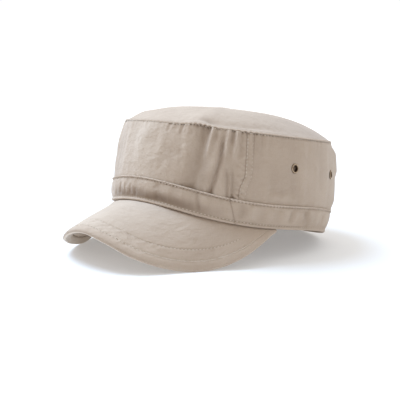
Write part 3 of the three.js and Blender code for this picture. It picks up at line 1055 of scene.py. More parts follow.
@dataclass(frozen=True)
class BandCloth:
    """The band: a bulging strip with a corded upper edge, a stitched ribbon below and small folds."""

    thickness: float = 2.2
    rope_pitch: float = 2.8
    ribbon_top: float = 0.128
    rope_ditch: float = 0.91
    # How strong the painted shade over the band's front is
    front_shade: float = 0.72
    # The outer face in section: height and distance out
    section: Table = (
        (0.0, 0.6), (0.02, 0.9), (0.045, 1.0), (0.08, 0.9), (0.108, 0.45), (0.128, 0.2), (0.158, 0.4),
        (0.25, 0.9), (0.4, 1.3), (0.6, 1.45), (0.78, 1.15), (0.87, 0.75), (0.91, 0.3), (0.938, 0.85),
        (0.96, 1.25), (0.985, 1.2), (1.0, 0.6),
    )
    folds: tuple[Crease, ...] = (
        Crease(((-18.1, 0.86), (-18.7, 0.5), (-19.3, 0.17)), 1.9, -1.1),
        Crease(((-14.3, 0.86), (-13.9, 0.5), (-13.6, 0.25)), 1.9, 0.8),
        Crease(((-11.6, 0.6), (-11.1, 0.2)), 1.5, 0.5),
        Crease(((-8.6, 0.72), (-8.1, 0.2)), 1.7, -0.7),
        Crease(((-4.8, 0.55), (-4.6, 0.12)), 1.6, -0.6),
        Crease(((-1.0, 0.85), (-0.5, 0.4)), 2.4, 0.3),
        Crease(((3.2, 0.24), (11.0, 0.27), (18.9, 0.33)), 2.6, -0.75),
        Crease(((8.0, 0.9), (9.0, 0.55)), 4.0, -0.4),
        Crease(((20.0, 0.9), (22.0, 0.3)), 4.5, 0.35),
        Crease(((30.5, 1.0), (31.4, 0.7), (32.5, 0.4), (33.0, 0.2)), 1.6, -1.1),
        Crease(((34.0, 0.85), (34.6, 0.35)), 2.6, 0.35),
        Crease(((53.0, 0.85), (54.0, 0.3)), 3.0, -0.3),
        Crease(((66.0, 0.85), (65.0, 0.3)), 4.0, 0.3),
        Crease(((77.4, 0.9), (77.2, 0.2)), 2.0, -0.9),
        Crease(((80.5, 0.85), (80.0, 0.25)), 2.6, 0.5),
        Crease(((86.2, 0.88), (88.8, 0.5), (91.4, 0.15)), 3.0, -1.2),
        Crease(((84.0, 0.8), (85.6, 0.4)), 3.0, 0.5),
        Crease(((97.0, 0.9), (98.0, 0.25)), 2.6, 0.4),
        Crease(((104.2, 0.8), (105.4, 0.2)), 2.0, -0.6),
        Crease(((128.0, 1.0), (128.0, 0.0)), 16.0, -1.5),
        Crease(((-128.0, 1.0), (-128.0, 0.0)), 16.0, -1.5),
        Crease(((-32.0, 0.9), (-31.0, 0.3)), 2.2, -0.7),
        Crease(((-78.0, 0.9), (-77.0, 0.2)), 2.4, -0.6),
        Crease(((-96.0, 0.88), (-98.0, 0.2)), 2.6, -0.5),
    )
    pinches: Ripple = Ripple(21, (60, 110), 0.2, 18)
    hang: Ripple = Ripple(22, (14, 44), 0.4)
    frill: Ripple = Ripple(23, (150, 210), 0.1, 10)
    # Painted light where the band faces the lamp from behind, by angle
    painted_light: Mark = Mark(112.0, 14.0, 0.3)

    def past_joint(self, turn: Array, height: Array) -> Array:
        """Millimetres behind the band's joint of the same side."""
        return FORM.length(np.abs(turn) - FORM.band_joint(height))

    def ribbon_shows(self, turn: Array) -> Array:
        """How far the ribbon stands off the band, from 1 in front to less behind."""
        return 1 - 0.75 * fade(np.abs(turn), 80.0, 98.0)

    def out(self, angle: Array, height: Array) -> Array:
        """How far the outer face lies from the plain form.

        Args:
            angle: Angles round the crown.
            height: Heights from 0 to 1.

        Returns:
            Millimetres outwards.
        """
        turn = signed(angle)
        frill = self.frill.at(turn, height)
        along = FORM.phase(turn, self.rope_pitch)
        out = smooth_table(self.section, height) + folded(self.folds, turn, height, FORM.band_tall)
        pinched = 0.35 + bump(height - 0.3, 0.14) + bump(height - 0.8, 0.12)
        out = out + 0.06 * self.pinches.at(turn, height) * pinched
        out = out + 0.26 * self.hang.at(turn, height) * window(height, 0.17, 0.34, 0.78, 0.92)
        out = out + (0.2 * np.cos(along) + 0.16 * frill) * bump(height - 0.965, 0.028)
        out = out + 0.16 * np.cos(along - 0.7 * math.pi) * bump(height - self.rope_ditch, 0.025)
        out = out + 0.06 * frill * bump(height - 0.1, 0.05)
        out = out + 0.5 * (1 - self.ribbon_shows(turn)) * bump(height - self.ribbon_top, 0.035)
        joint = self.past_joint(turn, height)
        return out - 0.35 * bump(joint, 0.45) - 0.4 * bump(joint, 1.9)

    def ditch(self, turn: Array, height: Array) -> Array:
        """Painted shade in the ditches: above the ribbon, at the joint and at each stitch under the
        cord.

        Args:
            turn: Angles from -180 to 180 degrees.
            height: Heights from 0 to 1.

        Returns:
            Above 0 for darker places.
        """
        along = FORM.phase(turn, self.rope_pitch)
        ribbon = 0.5 * self.ribbon_shows(turn) * bump(height - self.ribbon_top, 0.028)
        joint = 0.25 * bump(self.past_joint(turn, height), 0.7)
        ahead = 1 - fade(turn, 20.0, 40.0)
        stitch = 1 - np.cos(along - 2.2)
        dashed = 0.06 + 0.3 * stitch + 0.3 * ahead * stitch
        dashed = dashed * (1 + 0.6 * ahead * uneven_stitches(along))
        even = bump(turn - 37.0, 7.0, 4.0)
        rope = (dashed * (1 - even) + 0.75 * even) * bump(height - self.rope_ditch, 0.028)
        return ribbon + joint + rope

    def tone(self, angle: Array, height: Array, out: Array) -> Array:
        """Where the band is paler and darker: painted light on its folds' ridges, the cord and ribbon
        rubbed paler and standing in for their highlights, painted light behind, and painted shade in
        folds, ditches and over its front.

        Args:
            angle: Angles round the crown.
            height: Heights from 0 to 1.
            out: How far the outer face lies from the plain form.

        Returns:
            Above 0 for lighter places, below 0 for darker ones.
        """
        turn = signed(angle)
        fold = out - smooth_table(self.section, height)
        # The cord's top and the ribbon rubbed paler, which also paints their highlights
        cord = 0.6 + 0.25 * np.cos(FORM.phase(turn, self.rope_pitch))
        rub = cord * bump(height - 0.972, 0.02) + 0.2 * bump(height - 0.07, 0.035)
        # Painted light on the side that faces the lamp from behind
        rub = rub + self.painted_light.at(turn) * window(height, 0.2, 0.35, 0.85, 0.93)
        # Painted shade over the band's front, strongest on its lower half
        painted_front_shade = 0.1 + self.front_shade * (1 - fade(height, 0.26, 0.66))
        painted_front_shade = window(turn, -38.0, -14.0, 20.0, 50.0) * painted_front_shade * fade(height, 0.12, 0.2)
        # Painted light on the folds' ridges and painted shade in their valleys
        return 0.2 * np.clip(fold, -1.5, 1.5) + rub - self.ditch(turn, height) - painted_front_shade


@dataclass(frozen=True)
class Dent:
    """A soft dent or rise of the top: its angle, share of the way out, half widths and height."""

    angle: float
    share: float
    round_way: float
    across_way: float
    lift: float

    def at(self, turn: Array, share: Array, width: float) -> Array:
        """How far the dent lifts the top, at angles and shares of its half width."""
        along = np.radians(turn - self.angle) * width * share
        across = (share - self.share) * width
        return self.lift * bump(along, self.round_way) * bump(across, self.across_way)


@dataclass(frozen=True)
class TopCloth:
    """The top panel: a low dome with a rolled edge that stands over the wall."""

    thickness: float = 1.5
    dome_rise: float = 19.6
    dome_power: float = 3.0
    dents: tuple[Dent, ...] = (
        Dent(32.0, 0.945, 6.0, 4.5, -1.5),
        Dent(47.0, 0.925, 24.0, 4.4, -1.7),
        Dent(34.0, 0.9, 8.0, 7.0, -0.7),
        Dent(44.0, 0.86, 15.0, 9.0, -1.0),
        Dent(24.0, 0.9, 7.0, 6.0, 0.35),
        Dent(8.0, 0.93, 9.0, 5.0, -0.3),
        Dent(-31.0, 0.865, 14.0, 6.5, 1.5),
        Dent(80.0, 0.85, 18.0, 9.0, -0.4),
        Dent(-52.0, 0.36, 26.0, 26.0, -1.8),
        Dent(-60.0, 0.89, 14.0, 8.0, 1.6),
    )
    # The rolled edge in section: distance past the wall's face and height above the seam
    edge: Table = (
        (-3.4, 0.45), (-1.6, 0.12), (-0.1, 0.1), (0.06, -0.25), (0.22, -0.4), (0.48, -0.32), (0.66, 0.0),
        (0.68, 0.35), (0.5, 0.7), (0.12, 0.98), (-0.4, 1.08), (-1.0, 1.12), (-1.8, 1.38), (-2.8, 2.0),
    )
    frill: Ripple = Ripple(31, (110, 170), 0.0, 14)
    swell: Ripple = Ripple(32, (3, 9), 0.8)
    pucker: Ripple = Ripple(33, (48, 90), 0.5)
    lip_strength: Table = (
        (-180, 0.9), (-70, 0.6), (-54, 0.2), (0, 0.2), (27, 0.25), (33, 0.55), (90, 0.55), (108, 0.2),
        (140, 0.1), (180, 0.7),
    )
    frill_strength: Table = (
        (-180, 0.05), (-60, 0.06), (-30, 0.1), (0, 0.08), (22, 0.16), (30, 0.28), (50, 0.26), (58, 0.1),
        (66, 0.04), (180, 0.05),
    )

    def lift(self, angle: Array, share: Array) -> Array:
        """How far the top lies above the plain oval through its seam.

        Args:
            angle: Angles round the crown.
            share: Shares of the way from the middle to the seam.

        Returns:
            Millimetres upwards.
        """
        turn = signed(angle)
        width = FORM.top_seam.half_width
        lift = self.dome_rise * (1 - share**self.dome_power)
        for dent in self.dents:
            lift = lift + dent.at(turn, share, width)
        in_from_edge = (1.0 - share) * width
        strength = straight_table(self.frill_strength, turn)
        lift = lift + strength * self.pucker.at(angle, share) * bump(in_from_edge, 6.0, 1.4)
        return lift + 0.35 * self.swell.at(angle, share) * fade(in_from_edge, 0.0, 25.0) * share**2

    def face(self, angle: Array, share: Array) -> Array:
        """Points of the top's upper face inside its rolled edge.

        Args:
            angle: Angles round the crown.
            share: Shares of the way from the middle to the seam.

        Returns:
            One row of x, y and z for each place, in the cap's own frame.
        """
        line = FORM.top_seam
        seam = FORM.on_line(line, angle)
        x = seam[:, 0] * share
        y = line.shift + (seam[:, 1] - line.shift) * share
        z = line.height + (seam[:, 2] - line.height) * share + self.lift(angle, share)
        return np.stack([x, y, z], -1)

    def rolled(self, angle: Array, past: Array, lift: Array) -> Array:
        """Points of the rolled edge.

        Args:
            angle: Angles round the crown.
            past: Distances past the wall's face.
            lift: Heights above the seam.

        Returns:
            One row of x, y and z for each place, in the cap's own frame.
        """
        turn = signed(angle)
        strength = straight_table(self.frill_strength, turn) * fade(past, -2.5, 0.4)
        lip = straight_table(self.lip_strength, turn)
        past = np.where(past > -0.1, -0.1 + (past + 0.1) * lip, past)
        edge = FORM.on_line(FORM.top_seam, angle, past + 0.9 * strength * self.frill.at(angle))
        edge[:, 2] += lift + 0.8 * strength * self.frill.at(angle + 1.3)
        return edge

    def edge_rub_and_shade(self, turn: Array, lift: Array) -> Array:
        """Where the rolled edge is rubbed paler along its ridge, which also paints its highlight, with
        painted shade in the ditches below and above it.

        Args:
            turn: Angles from -180 to 180 degrees.
            lift: Heights above the seam.

        Returns:
            Above 0 for lighter places, below 0 for darker ones.
        """
        lip = np.minimum(1.5 * straight_table(self.lip_strength, turn), 1.0)
        # Painted shade in the ditches below and above the ridge
        ditch = 0.5 * bump(lift + 0.5, 0.5) + 0.4 * lip * bump(lift - 1.5, 0.45)
        return 0.8 * lip * bump(lift - 0.5, 0.4) - ditch

    def face_shade(self, turn: Array, share: Array) -> Array:
        """Painted shade on the upper face: on the left side, and in its dents near the front corner.

        Args:
            turn: Angles from -180 to 180 degrees.
            share: Shares of the way from the middle to the seam.

        Returns:
            Values below 0 for darker places.
        """
        side = 0.2 * bump(turn - 84.0, 42.0) * fade(share, 0.35, 0.7)
        corner = 0.42 * bump(turn - 30.0, 4.0) * bump(share - 0.91, 0.035)
        return -(side + corner + 0.08 * fade(turn, 30.0, 40.0) * bump(share - 0.9, 0.06))


@dataclass(frozen=True)
class PeakCloth:
    """The peak: a stiff board between two layers of cloth, arched, with its sides curving down."""

    span: float = 73.0
    arch: float = 3.4
    end: float = 0.975
    tuck: float = 1.8
    below: float = -0.2
    thickness: float = 3.0
    under_relief: float = 0.85
    edge_round: float = 1.2
    first_row: float = 6.2
    second_row: float = 13.9
    second_end: float = 0.72
    row_pitch: float = 2.7
    strip: float = 7.6
    strip_room: float = 1.1
    field_room: float = 1.35
    # How far out and down the edge lies from the rim, by the share of half the span
    reach: Table = (
        (0.0, 53.6), (0.125, 51.2), (0.25, 44.0), (0.375, 32.0), (0.5, 21.3),
        (0.625, 15.2), (0.75, 12.1), (0.85, 8.1), (0.93, 3.7), (1.0, 0.0),
    )
    drop: Table = (
        (0.0, 24.1), (0.125, 27.6), (0.25, 33.8), (0.375, 37.1), (0.5, 36.3),
        (0.625, 31.1), (0.75, 21.6), (0.85, 12.0), (0.93, 4.8), (1.0, 0.0),
    )
    swell: Ripple = Ripple(41, (10, 26), 0.8)
    pucker: Ripple = Ripple(42, (60, 150), 6.0, 24)

    def plain(self, share: Array, out: Array) -> Array:
        """Points of the peak's upper face before its relief.

        Args:
            share: Shares of half the peak's span, negative on the right.
            out: Shares of the way from the rim to the edge.

        Returns:
            One row of x, y and z for each place.
        """
        size = np.abs(share)
        rim = FORM.on_line(FORM.rim, share * self.span, np.full_like(share, -self.tuck))
        radius = np.hypot(rim[:, 0], rim[:, 1])
        stretch = 1 + out * (smooth_table(self.reach, size) + self.tuck) / radius
        arch = self.arch * 4 * out * (1 - out) * (1 - size**4)
        z = rim[:, 2] - self.below * fade(out, 0.0, 0.12) - out * smooth_table(self.drop, size) + arch
        return np.stack([rim[:, 0] * stretch, rim[:, 1] * stretch, z], -1)

    def length(self, share: Array) -> Array:
        """The way from the rim to the edge at each share, in millimetres."""
        way = self.plain(share, np.ones_like(share)) - self.plain(share, np.zeros_like(share))
        return np.linalg.norm(way, axis=1)

    def squeezes(self, length: Array) -> tuple[Array, Array]:
        """How far the peak's measures close up where it is short.

        Args:
            length: The way from the rim to the edge, in millimetres.

        Returns:
            The shares that are left of the stitched strip and of the field inside it.
        """
        strip = np.minimum(1.0, length / (self.strip * self.strip_room))
        wide = (self.second_row + 1.2 - self.strip) * self.field_room
        return strip, np.minimum(1.0, (length - self.strip * strip) / wide)

    def out_at(self, share: Array, inset: Array) -> Array:
        """The share of the way out at a distance in from the edge.

        Args:
            share: Shares of half the peak's span.
            inset: Distances in from the edge.

        Returns:
            Shares of the way from the rim to the edge.
        """
        length = self.length(share)
        strip, inside = self.squeezes(length)
        way = np.minimum(inset, self.strip) * strip + np.maximum(inset - self.strip, 0.0) * inside
        return 1 - way / length

    def deepest(self, share: Array) -> Array:
        """The distance in from the edge that lies at the rim."""
        length = self.length(share)
        strip, inside = self.squeezes(length)
        return self.strip + (length - self.strip * strip) / inside

    def dashes(self, share: Array, inset: float) -> Array:
        """How far each place along a row is from the middle of a stitch.

        Args:
            share: Shares of half the peak's span.
            inset: The row's distance in from the edge.

        Returns:
            Values from 0 to 1.
        """
        dense = np.linspace(-self.end, self.end, 1200)
        passed = passed_along(self.plain(dense, self.out_at(dense, np.full_like(dense, inset))))
        return 0.5 - 0.5 * np.cos(2 * math.pi * np.interp(share, dense, passed) / self.row_pitch)

    def normal(self, share: Array, out: Array) -> Array:
        """The upward way off the plain face.

        Args:
            share: Shares of half the peak's span.
            out: Shares of the way from the rim to the edge.

        Returns:
            One row of x, y and z for each place, of length 1.
        """
        step = 0.004
        across = self.plain(share + step, out) - self.plain(share - step, out)
        inward = self.plain(share, out - step) - self.plain(share, out + step)
        normal = np.cross(across, inward)
        return normal / np.linalg.norm(normal, axis=1, keepdims=True)

    def first_row_depth(self, share: Array) -> Array:
        """How strongly the outer row of stitches draws the cloth in, less on the right side."""
        return 0.35 + 0.65 * fade(share, 0.1, 0.32)

    def second_row_shows(self, share: Array) -> Array:
        """Where the inner row of stitches runs, from 1 in front to 0 where the peak gets short."""
        return 1 - fade(np.abs(share), self.second_end - 0.02, self.second_end + 0.02)

    def relief(self, inset: Array, share: Array) -> Array:
        """How far the upper face sinks from the plain face.

        Args:
            inset: Distances in from the edge.
            share: Shares of half the peak's span.

        Returns:
            Millimetres downwards.
        """
        rim = 1.5 * (1 - np.sqrt(1 - (1 - np.clip(inset / self.edge_round, 0.0, 1.0)) ** 2))
        puff = -0.3 * bump(inset - 3.4, 1.9)
        first = 0.42 * self.first_row_depth(share) * bump(inset - self.first_row, 0.45)
        second = 0.28 * self.second_row_shows(share) * bump(inset - self.second_row, 0.5)
        uneven = 0.05 * self.swell.at(share * self.span, inset / 20.0)
        puckered = bump(inset - 9.5, 6.5, 4.0) * (1 - fade(share, 0.22, 0.42))
        uneven = uneven + (0.02 + 0.1 * puckered) * self.pucker.at(share * self.span, inset / 20.0)
        return rim + puff + first + second + uneven

    def face(self, share: Array, inset: Array, upper: Array) -> Array:
        """Points of the peak, in the cap's own frame.

        Args:
            share: Shares of half the peak's span.
            inset: Distances in from the edge.
            upper: Whether each point is on the upper face.

        Returns:
            One row of x, y and z for each place.
        """
        out = self.out_at(share, inset)
        sunk = self.relief(inset, share)
        depth = np.where(upper, sunk, self.thickness - sunk * self.under_relief)
        return self.plain(share, out) - self.normal(share, out) * depth[:, None]

    def upper_tone(self, share: Array, inset: Array) -> Array:
        """Where the upper face is paler and darker: rubbed paler at its edge and outer row, standing in
        for their highlights too, painted light on its right side, and painted shade at its edge, its
        rows and the rim.

        Args:
            share: Shares of half the peak's span.
            inset: Distances in from the edge.

        Returns:
            Above 0 for lighter places, below 0 for darker ones.
        """
        marked = self.first_row_depth(share)
        rub = 0.15 * bump(inset - 0.3, 1.0) + 0.9 * marked * bump(inset - self.first_row, 0.35)
        # Painted light on the peak's right side and middle, towards the key lamp
        painted_light = 0.28 * (1 - fade(share, -0.05, 0.38)) * fade(inset, 3.0, 9.0)
        # Painted shade along the edge's lower rounding, above the outer row and at each stitch of the
        # inner row
        edge = 0.35 * (1 - fade(share, 0.25, 0.45)) * bump(inset - 0.3, 1.3)
        ditch = 0.4 * marked * bump(inset - self.first_row + 0.75, 0.25) + edge
        dark = (0.1 + 0.65 * self.dashes(share, self.second_row)) * (1 - 0.45 * fade(share, 0.36, 0.5))
        ditch = ditch + dark * self.second_row_shows(share) * bump(inset - self.second_row, 0.45)
        # Painted shade in the crevice where the peak meets the rim
        return rub + painted_light - ditch - 0.35 * bump(self.deepest(share) - inset, 1.6)

    def under_tone(self, inset: Array) -> Array:
        """Painted light on the underside, made paler where it lies in shade, with a painted shadow along
        the row of stitches in its hem, where it shows as a slit.
        """
        hem = 0.8 - 2.2 * bump(inset - self.first_row - 0.3, 0.6)
        return np.where(inset < self.strip + 1.6, hem, 0.5)


# Pieces of the cap


@dataclass
class Panel:
    """A panel of the crown's side, in front or behind, between a seam and its mirror image."""

    part: Part
    column_step: float
    back_coarser: float
    end_step: float
    end_reach: float
    seam_gap: float = 0.005

    def columns(self, seam: float) -> Array:
        """Shares of the panel's length, closer together near its two seams.

        Args:
            seam: The angle of its seam in degrees.

        Returns:
            Shares from 0 to 1.
        """
        arc, step = seam * 2, self.column_step
        if self.part is Part.BACK:
            arc, step = FULL_TURN - arc, step * self.back_coarser
        long = math.radians(arc) * FORM.around
        return graded(0.0, 1.0, self.end_step / long, step / long, self.end_reach / long)

    def angles(self, share: Array, seam: Array) -> Array:
        """Angles round the crown at shares of the panel's length.

        Args:
            share: Shares from 0 to 1.
            seam: The seam's angle at the height of each.

        Returns:
            Angles in degrees.
        """
        gap = math.degrees(self.seam_gap / FORM.around)
        if self.part is Part.FRONT:
            return (seam - gap) * (2 * share - 1)
        return seam + gap + share * (FULL_TURN - 2 * (seam + gap))


@dataclass
class Wall(Panel):
    """One of the crown's two wall panels."""

    column_step: float = 0.62
    back_coarser: float = 1.4
    end_step: float = 0.3
    end_reach: float = 8.0
    row_step: float = 0.75
    behind_band: float = 1.2
    under_top: float = 0.05
    cloth: WallCloth = WallCloth()

    def build(self) -> bpy.types.Object:
        """Shapes the panel from a flat slab of cloth.

        Returns:
            The panel.
        """
        tall = FORM.wall_tall
        shares = self.columns(FORM.side_seam_angle)
        low, high = 1.0 - self.behind_band / tall, 2.0 - self.under_top / tall
        heights = graded(low, high, 0.35 / tall, self.row_step / tall, 4.0 / tall)
        size = len(shares) - 1, len(heights) - 1
        piece = cloth_slab(f"crown_{self.part.value}_cloth", *size)
        column, row, outer = grid_places(piece, *size)
        height = heights[row]
        angle = self.angles(shares[column], FORM.side_seam(height))
        cloth = self.cloth.out(angle, np.maximum(height, 1.0))
        behind = fade(1.0 - height, 0.0, 0.02)
        out = np.where(outer, cloth, cloth - self.cloth.thickness) - 0.3 * behind
        move_points(piece, POSE.place(FORM.on_crown(angle, height, out)))
        lay_weave(piece, FORM.length(angle), height * tall)
        lay_tone(piece, np.where(outer, self.cloth.tone(angle, height, cloth), 0.0))
        if self.part is Part.BACK:
            self.punch(piece)
        shade(piece)
        return piece

    def punch(self, piece: bpy.types.Object) -> None:
        """Cuts the four vent holes through the cloth.

        Args:
            piece: The panel.
        """
        radius = Vent().cloth_hole * MM
        for place in vent_places(self.cloth):
            deselect_all()
            bpy.ops.mesh.primitive_cylinder_add(vertices=40, radius=radius, depth=12 * MM)
            cutter = named("vent_cutter")
            cutter.data.transform(place)
            cut = piece.modifiers.new("vent", "BOOLEAN")
            cut.operation, cut.solver, cut.object = "DIFFERENCE", "EXACT", cutter
            select_only(piece)
            bpy.ops.object.modifier_apply(modifier=cut.name)
            bpy.data.objects.remove(cutter)


@dataclass
class Band(Panel):
    """One of the band's two lengths, in front or behind."""

    column_step: float = 0.52
    back_coarser: float = 1.25
    end_step: float = 0.25
    end_reach: float = 3.0
    middle_rows: int = 18
    cloth: BandCloth = BandCloth()
    # Where the weave starts, so that it doesn't run on from the wall's
    weave_start: float = 37.0

    def heights(self) -> Array:
        """Heights for its rows of points, at and between those of its section."""
        spots = np.array([row[0] for row in self.cloth.section])
        between = (spots[1:] + spots[:-1]) / 2
        return np.unique(np.concatenate([spots, between, np.linspace(0.24, 0.84, self.middle_rows)]))

    def build(self) -> bpy.types.Object:
        """Shapes the band from a flat slab of cloth.

        Returns:
            The band's piece.
        """
        shares = self.columns(FORM.band_joint_angle)
        heights = self.heights()
        size = len(shares) - 1, len(heights) - 1
        piece = cloth_slab(f"band_{self.part.value}_cloth", *size)
        column, row, outer = grid_places(piece, *size)
        height = heights[row]
        angle = self.angles(shares[column], FORM.band_joint(height))
        cloth = self.cloth.out(angle, height)
        inner = -self.cloth.thickness + (self.cloth.thickness + 0.12) * fade(height, 0.92, 0.95)
        rows = FORM.on_crown(angle, height, np.where(outer, cloth, inner))
        move_points(piece, POSE.grounded(rows))
        lay_weave(piece, FORM.length(angle) + self.weave_start, height * FORM.band_tall)
        lay_tone(piece, np.where(outer, self.cloth.tone(angle, height, cloth), 0.0))
        shade(piece)
        return piece


@dataclass
class Top:
    """The top panel, closed underneath, with its rolled edge."""

    cloth: TopCloth = TopCloth()
    columns: int = 600
    edge_steps: int = 3
    under_shares: tuple[float, ...] = (0.0, 0.12, 0.25, 0.38, 0.5, 0.6, 0.7, 0.78, 0.85, 0.91, 0.935)
    over_share: float = 0.955
    under_depth: float = 1.25
    weave_start: tuple[float, float] = (11.0, 7.0)
    # How steeply the dome leaves the rolled edge, and how far and how much it is eased down to it
    edge_slope: float = 0.62
    ease_rows: float = 9.0
    ease: float = 0.6

    def build(self) -> bpy.types.Object:
        """Shapes the panel from a flat grid that is rolled round its middle.

        Returns:
            The panel.
        """
        edge = curve_through(self.cloth.edge, self.edge_steps)
        under = np.array(self.under_shares)
        over = np.concatenate([np.linspace(self.over_share, 0.8, 20), np.linspace(0.78, 0.0, 26)])
        first = len(under) + len(edge)
        size = self.columns, first + len(over) - 1
        piece = cloth_grid("crown_top_cloth", *size)
        column, row, _ = grid_places(piece, *size)
        angle = FULL_TURN * (column % self.columns) / self.columns
        on_under, on_over = row < len(under), row >= first
        on_edge = ~(on_under | on_over)
        share = np.where(on_under, under[np.minimum(row, len(under) - 1)], 0.0)
        share = np.where(on_over, over[np.clip(row - first, 0, len(over) - 1)], share)
        rows = self.cloth.face(angle, share)
        rows[:, 2] -= np.where(on_under, self.cloth.thickness * self.under_depth, 0.0)
        past, lift = edge[np.clip(row - len(under), 0, len(edge) - 1)].T
        rows[on_edge] = self.cloth.rolled(angle, past, lift)[on_edge]
        rows = self.settle(rows, angle, row - first)
        move_points(piece, POSE.place(rows))
        lay_weave(piece, rows[:, 0] + self.weave_start[0], rows[:, 1] + self.weave_start[1])
        turn = signed(angle)
        tone = np.where(on_edge, self.cloth.edge_rub_and_shade(turn, lift), 0.0)
        lay_tone(piece, np.where(on_over, self.cloth.face_shade(turn, share), tone))
        weld(piece)
        shade(piece)
        return piece

    def settle(self, rows: Array, angle: Array, past: Array) -> Array:
        """Eases the dome's first rows down to the rolled edge, so that no step shows between them.

        Args:
            rows: The panel's points.
            angle: Their angles round the crown.
            past: How many rows each lies past the dome's first one.

        Returns:
            The points with those of the dome eased.
        """
        seam = FORM.on_line(FORM.top_seam, angle)
        inner, height = self.cloth.edge[-1]
        ease = 1 - fade(past.astype(float), -1.0, self.ease_rows)
        inside = np.linalg.norm(rows[:, :2] - seam[:, :2], axis=1)
        level = seam[:, 2] + height + self.edge_slope * (inside + inner)
        eased = (level - rows[:, 2]) * ease * bump(inside - 3.0, 4.0)
        over = past >= 0
        rows[over, 2] += eased[over] * self.ease
        return rows


@dataclass
class Peak:
    """The peak, with its rounded edge and its two stitched rows."""

    cloth: PeakCloth = PeakCloth()
    columns: int = 330
    inner_rows: int = 26
    # Rows of points in from the edge, and on both sides of each row of stitches
    edge_rows: tuple[float, ...] = (0.0, 0.05, 0.18, 0.4, 0.75, 1.2, 1.8, 2.6, 3.4, 4.2, 4.8)
    first_rows: tuple[float, ...] = (-1.05, -0.75, -0.4, -0.15, 0.0, 0.3, 0.6, 0.9, 1.4)
    second_rows: tuple[float, ...] = (-0.7, -0.4, 0.0, 0.4, 0.7, 1.2)
    field_rows: int = 7
    weave_start: tuple[float, float] = (5.0, 90.0)

    def insets(self) -> Array:
        """Distances in from the edge of the rows of points that follow it."""
        first, second = self.cloth.first_row, self.cloth.second_row
        between = np.linspace(first + 2.2, second - 1.2, self.field_rows)
        by_first, by_second = first + np.array(self.first_rows), second + np.array(self.second_rows)
        return np.concatenate([self.edge_rows, by_first, between, by_second])

    def build(self) -> bpy.types.Object:
        """Shapes the peak from a flat slab of cloth.

        Returns:
            The peak.
        """
        shares = np.linspace(-self.cloth.end, self.cloth.end, self.columns + 1)
        insets = self.insets()
        inner = np.linspace(0.0, 1.0, self.inner_rows + 1)[1:]
        size = self.columns, len(insets) + len(inner) - 1
        piece = cloth_slab("peak_cloth", *size)
        column, row, upper = grid_places(piece, *size)
        share = shares[column]
        near = insets[np.minimum(row, len(insets) - 1)]
        beyond = inner[np.clip(row - len(insets), 0, len(inner) - 1)]
        far = insets[-1] + beyond * (self.cloth.deepest(share) - insets[-1])
        inset = np.where(row < len(insets), near, far)
        move_points(piece, POSE.grounded(self.cloth.face(share, inset, upper)))
        along = FORM.length(share * self.cloth.span)
        lay_weave(piece, along + self.weave_start[0], inset + self.weave_start[1])
        tone = np.where(upper, self.cloth.upper_tone(share, inset), self.cloth.under_tone(inset))
        lay_tone(piece, tone)
        shade(piece, 70.0)
        return piece


@dataclass(frozen=True)
class Vent:
    """A metal eyelet: a rolled flange on each face of the cloth and a barrel through it."""

    hole: float = 2.25
    barrel: float = 2.7
    flange: float = 3.7
    cloth_hole: float = 2.9
    sides: int = 48

    def section(self, face: float) -> Array:
        """The closed section of the metal.

        Args:
            face: Half the cloth's thickness.

        Returns:
            Rows of distance from the axis and height along it.
        """
        hole, barrel, flange = self.hole, self.barrel, self.flange
        bore = [(hole + 0.1, -face - 0.1), (hole, -face * 0.4), (hole, face * 0.4)]
        roll = [
            (hole + 0.15, face + 0.35), (hole + 0.5, face + 0.72), (hole + 0.95, face + 0.78),
            (flange - 0.3, face + 0.5), (flange, face + 0.12), (flange - 0.08, face - 0.12),
        ]
        neck = [
            (flange - 0.5, face - 0.05), (barrel + 0.05, face - 0.1), (barrel, face * 0.4),
            (barrel, -face * 0.4), (barrel + 0.1, -face + 0.02),
        ]
        washer = [
            (flange - 0.7, -face - 0.05), (flange - 0.4, -face - 0.25), (flange - 0.7, -face - 0.5),
            (hole + 0.6, -face - 0.55),
        ]
        return curve_through(bore + roll + neck + washer, 2)

    def build(self, name: str, place: Matrix, thickness: float) -> bpy.types.Object:
        """Spins the eyelet from the section of its metal.

        Args:
            name: The piece's name.
            place: Where it sits, with its axis along the way out of the cloth.
            thickness: The cloth's thickness.

        Returns:
            The eyelet.
        """
        face = thickness / 2
        section = self.section(face)
        deselect_all()
        upright = (math.pi / 2, 0.0, 0.0)
        bpy.ops.mesh.primitive_circle_add(vertices=len(section), radius=MM, rotation=upright)
        piece = named(name)
        bpy.ops.object.transform_apply(location=True, rotation=True, scale=True)
        ring = np.zeros((len(section), 3))
        ring[:, 0], ring[:, 2] = section[:, 0] * MM, section[:, 1] * MM
        move_points(piece, ring)
        with edit_all():
            axis = {"center": (0.0, 0.0, 0.0), "axis": (0.0, 0.0, 1.0)}
            bpy.ops.mesh.spin(steps=self.sides, angle=2 * math.pi, **axis)
            bpy.ops.mesh.select_all(action="SELECT")
            bpy.ops.mesh.remove_doubles(threshold=MM * 0.005)
            bpy.ops.mesh.normals_make_consistent(inside=False)
        spots = points_of(piece) / MM
        ridge = bump(np.hypot(spots[:, 0], spots[:, 1]) - self.flange + 0.6, 0.45)
        lay_tone(piece, np.clip(ridge * fade(spots[:, 2], face, face + 0.6), 0, 1))
        piece.data.transform(place)
        shade(piece, 60.0)
        return piece


# The vents of one side: their names, angles and heights
VENT_SPOTS = (("front", 76.0, 1.55), ("rear", 109.5, 1.52))


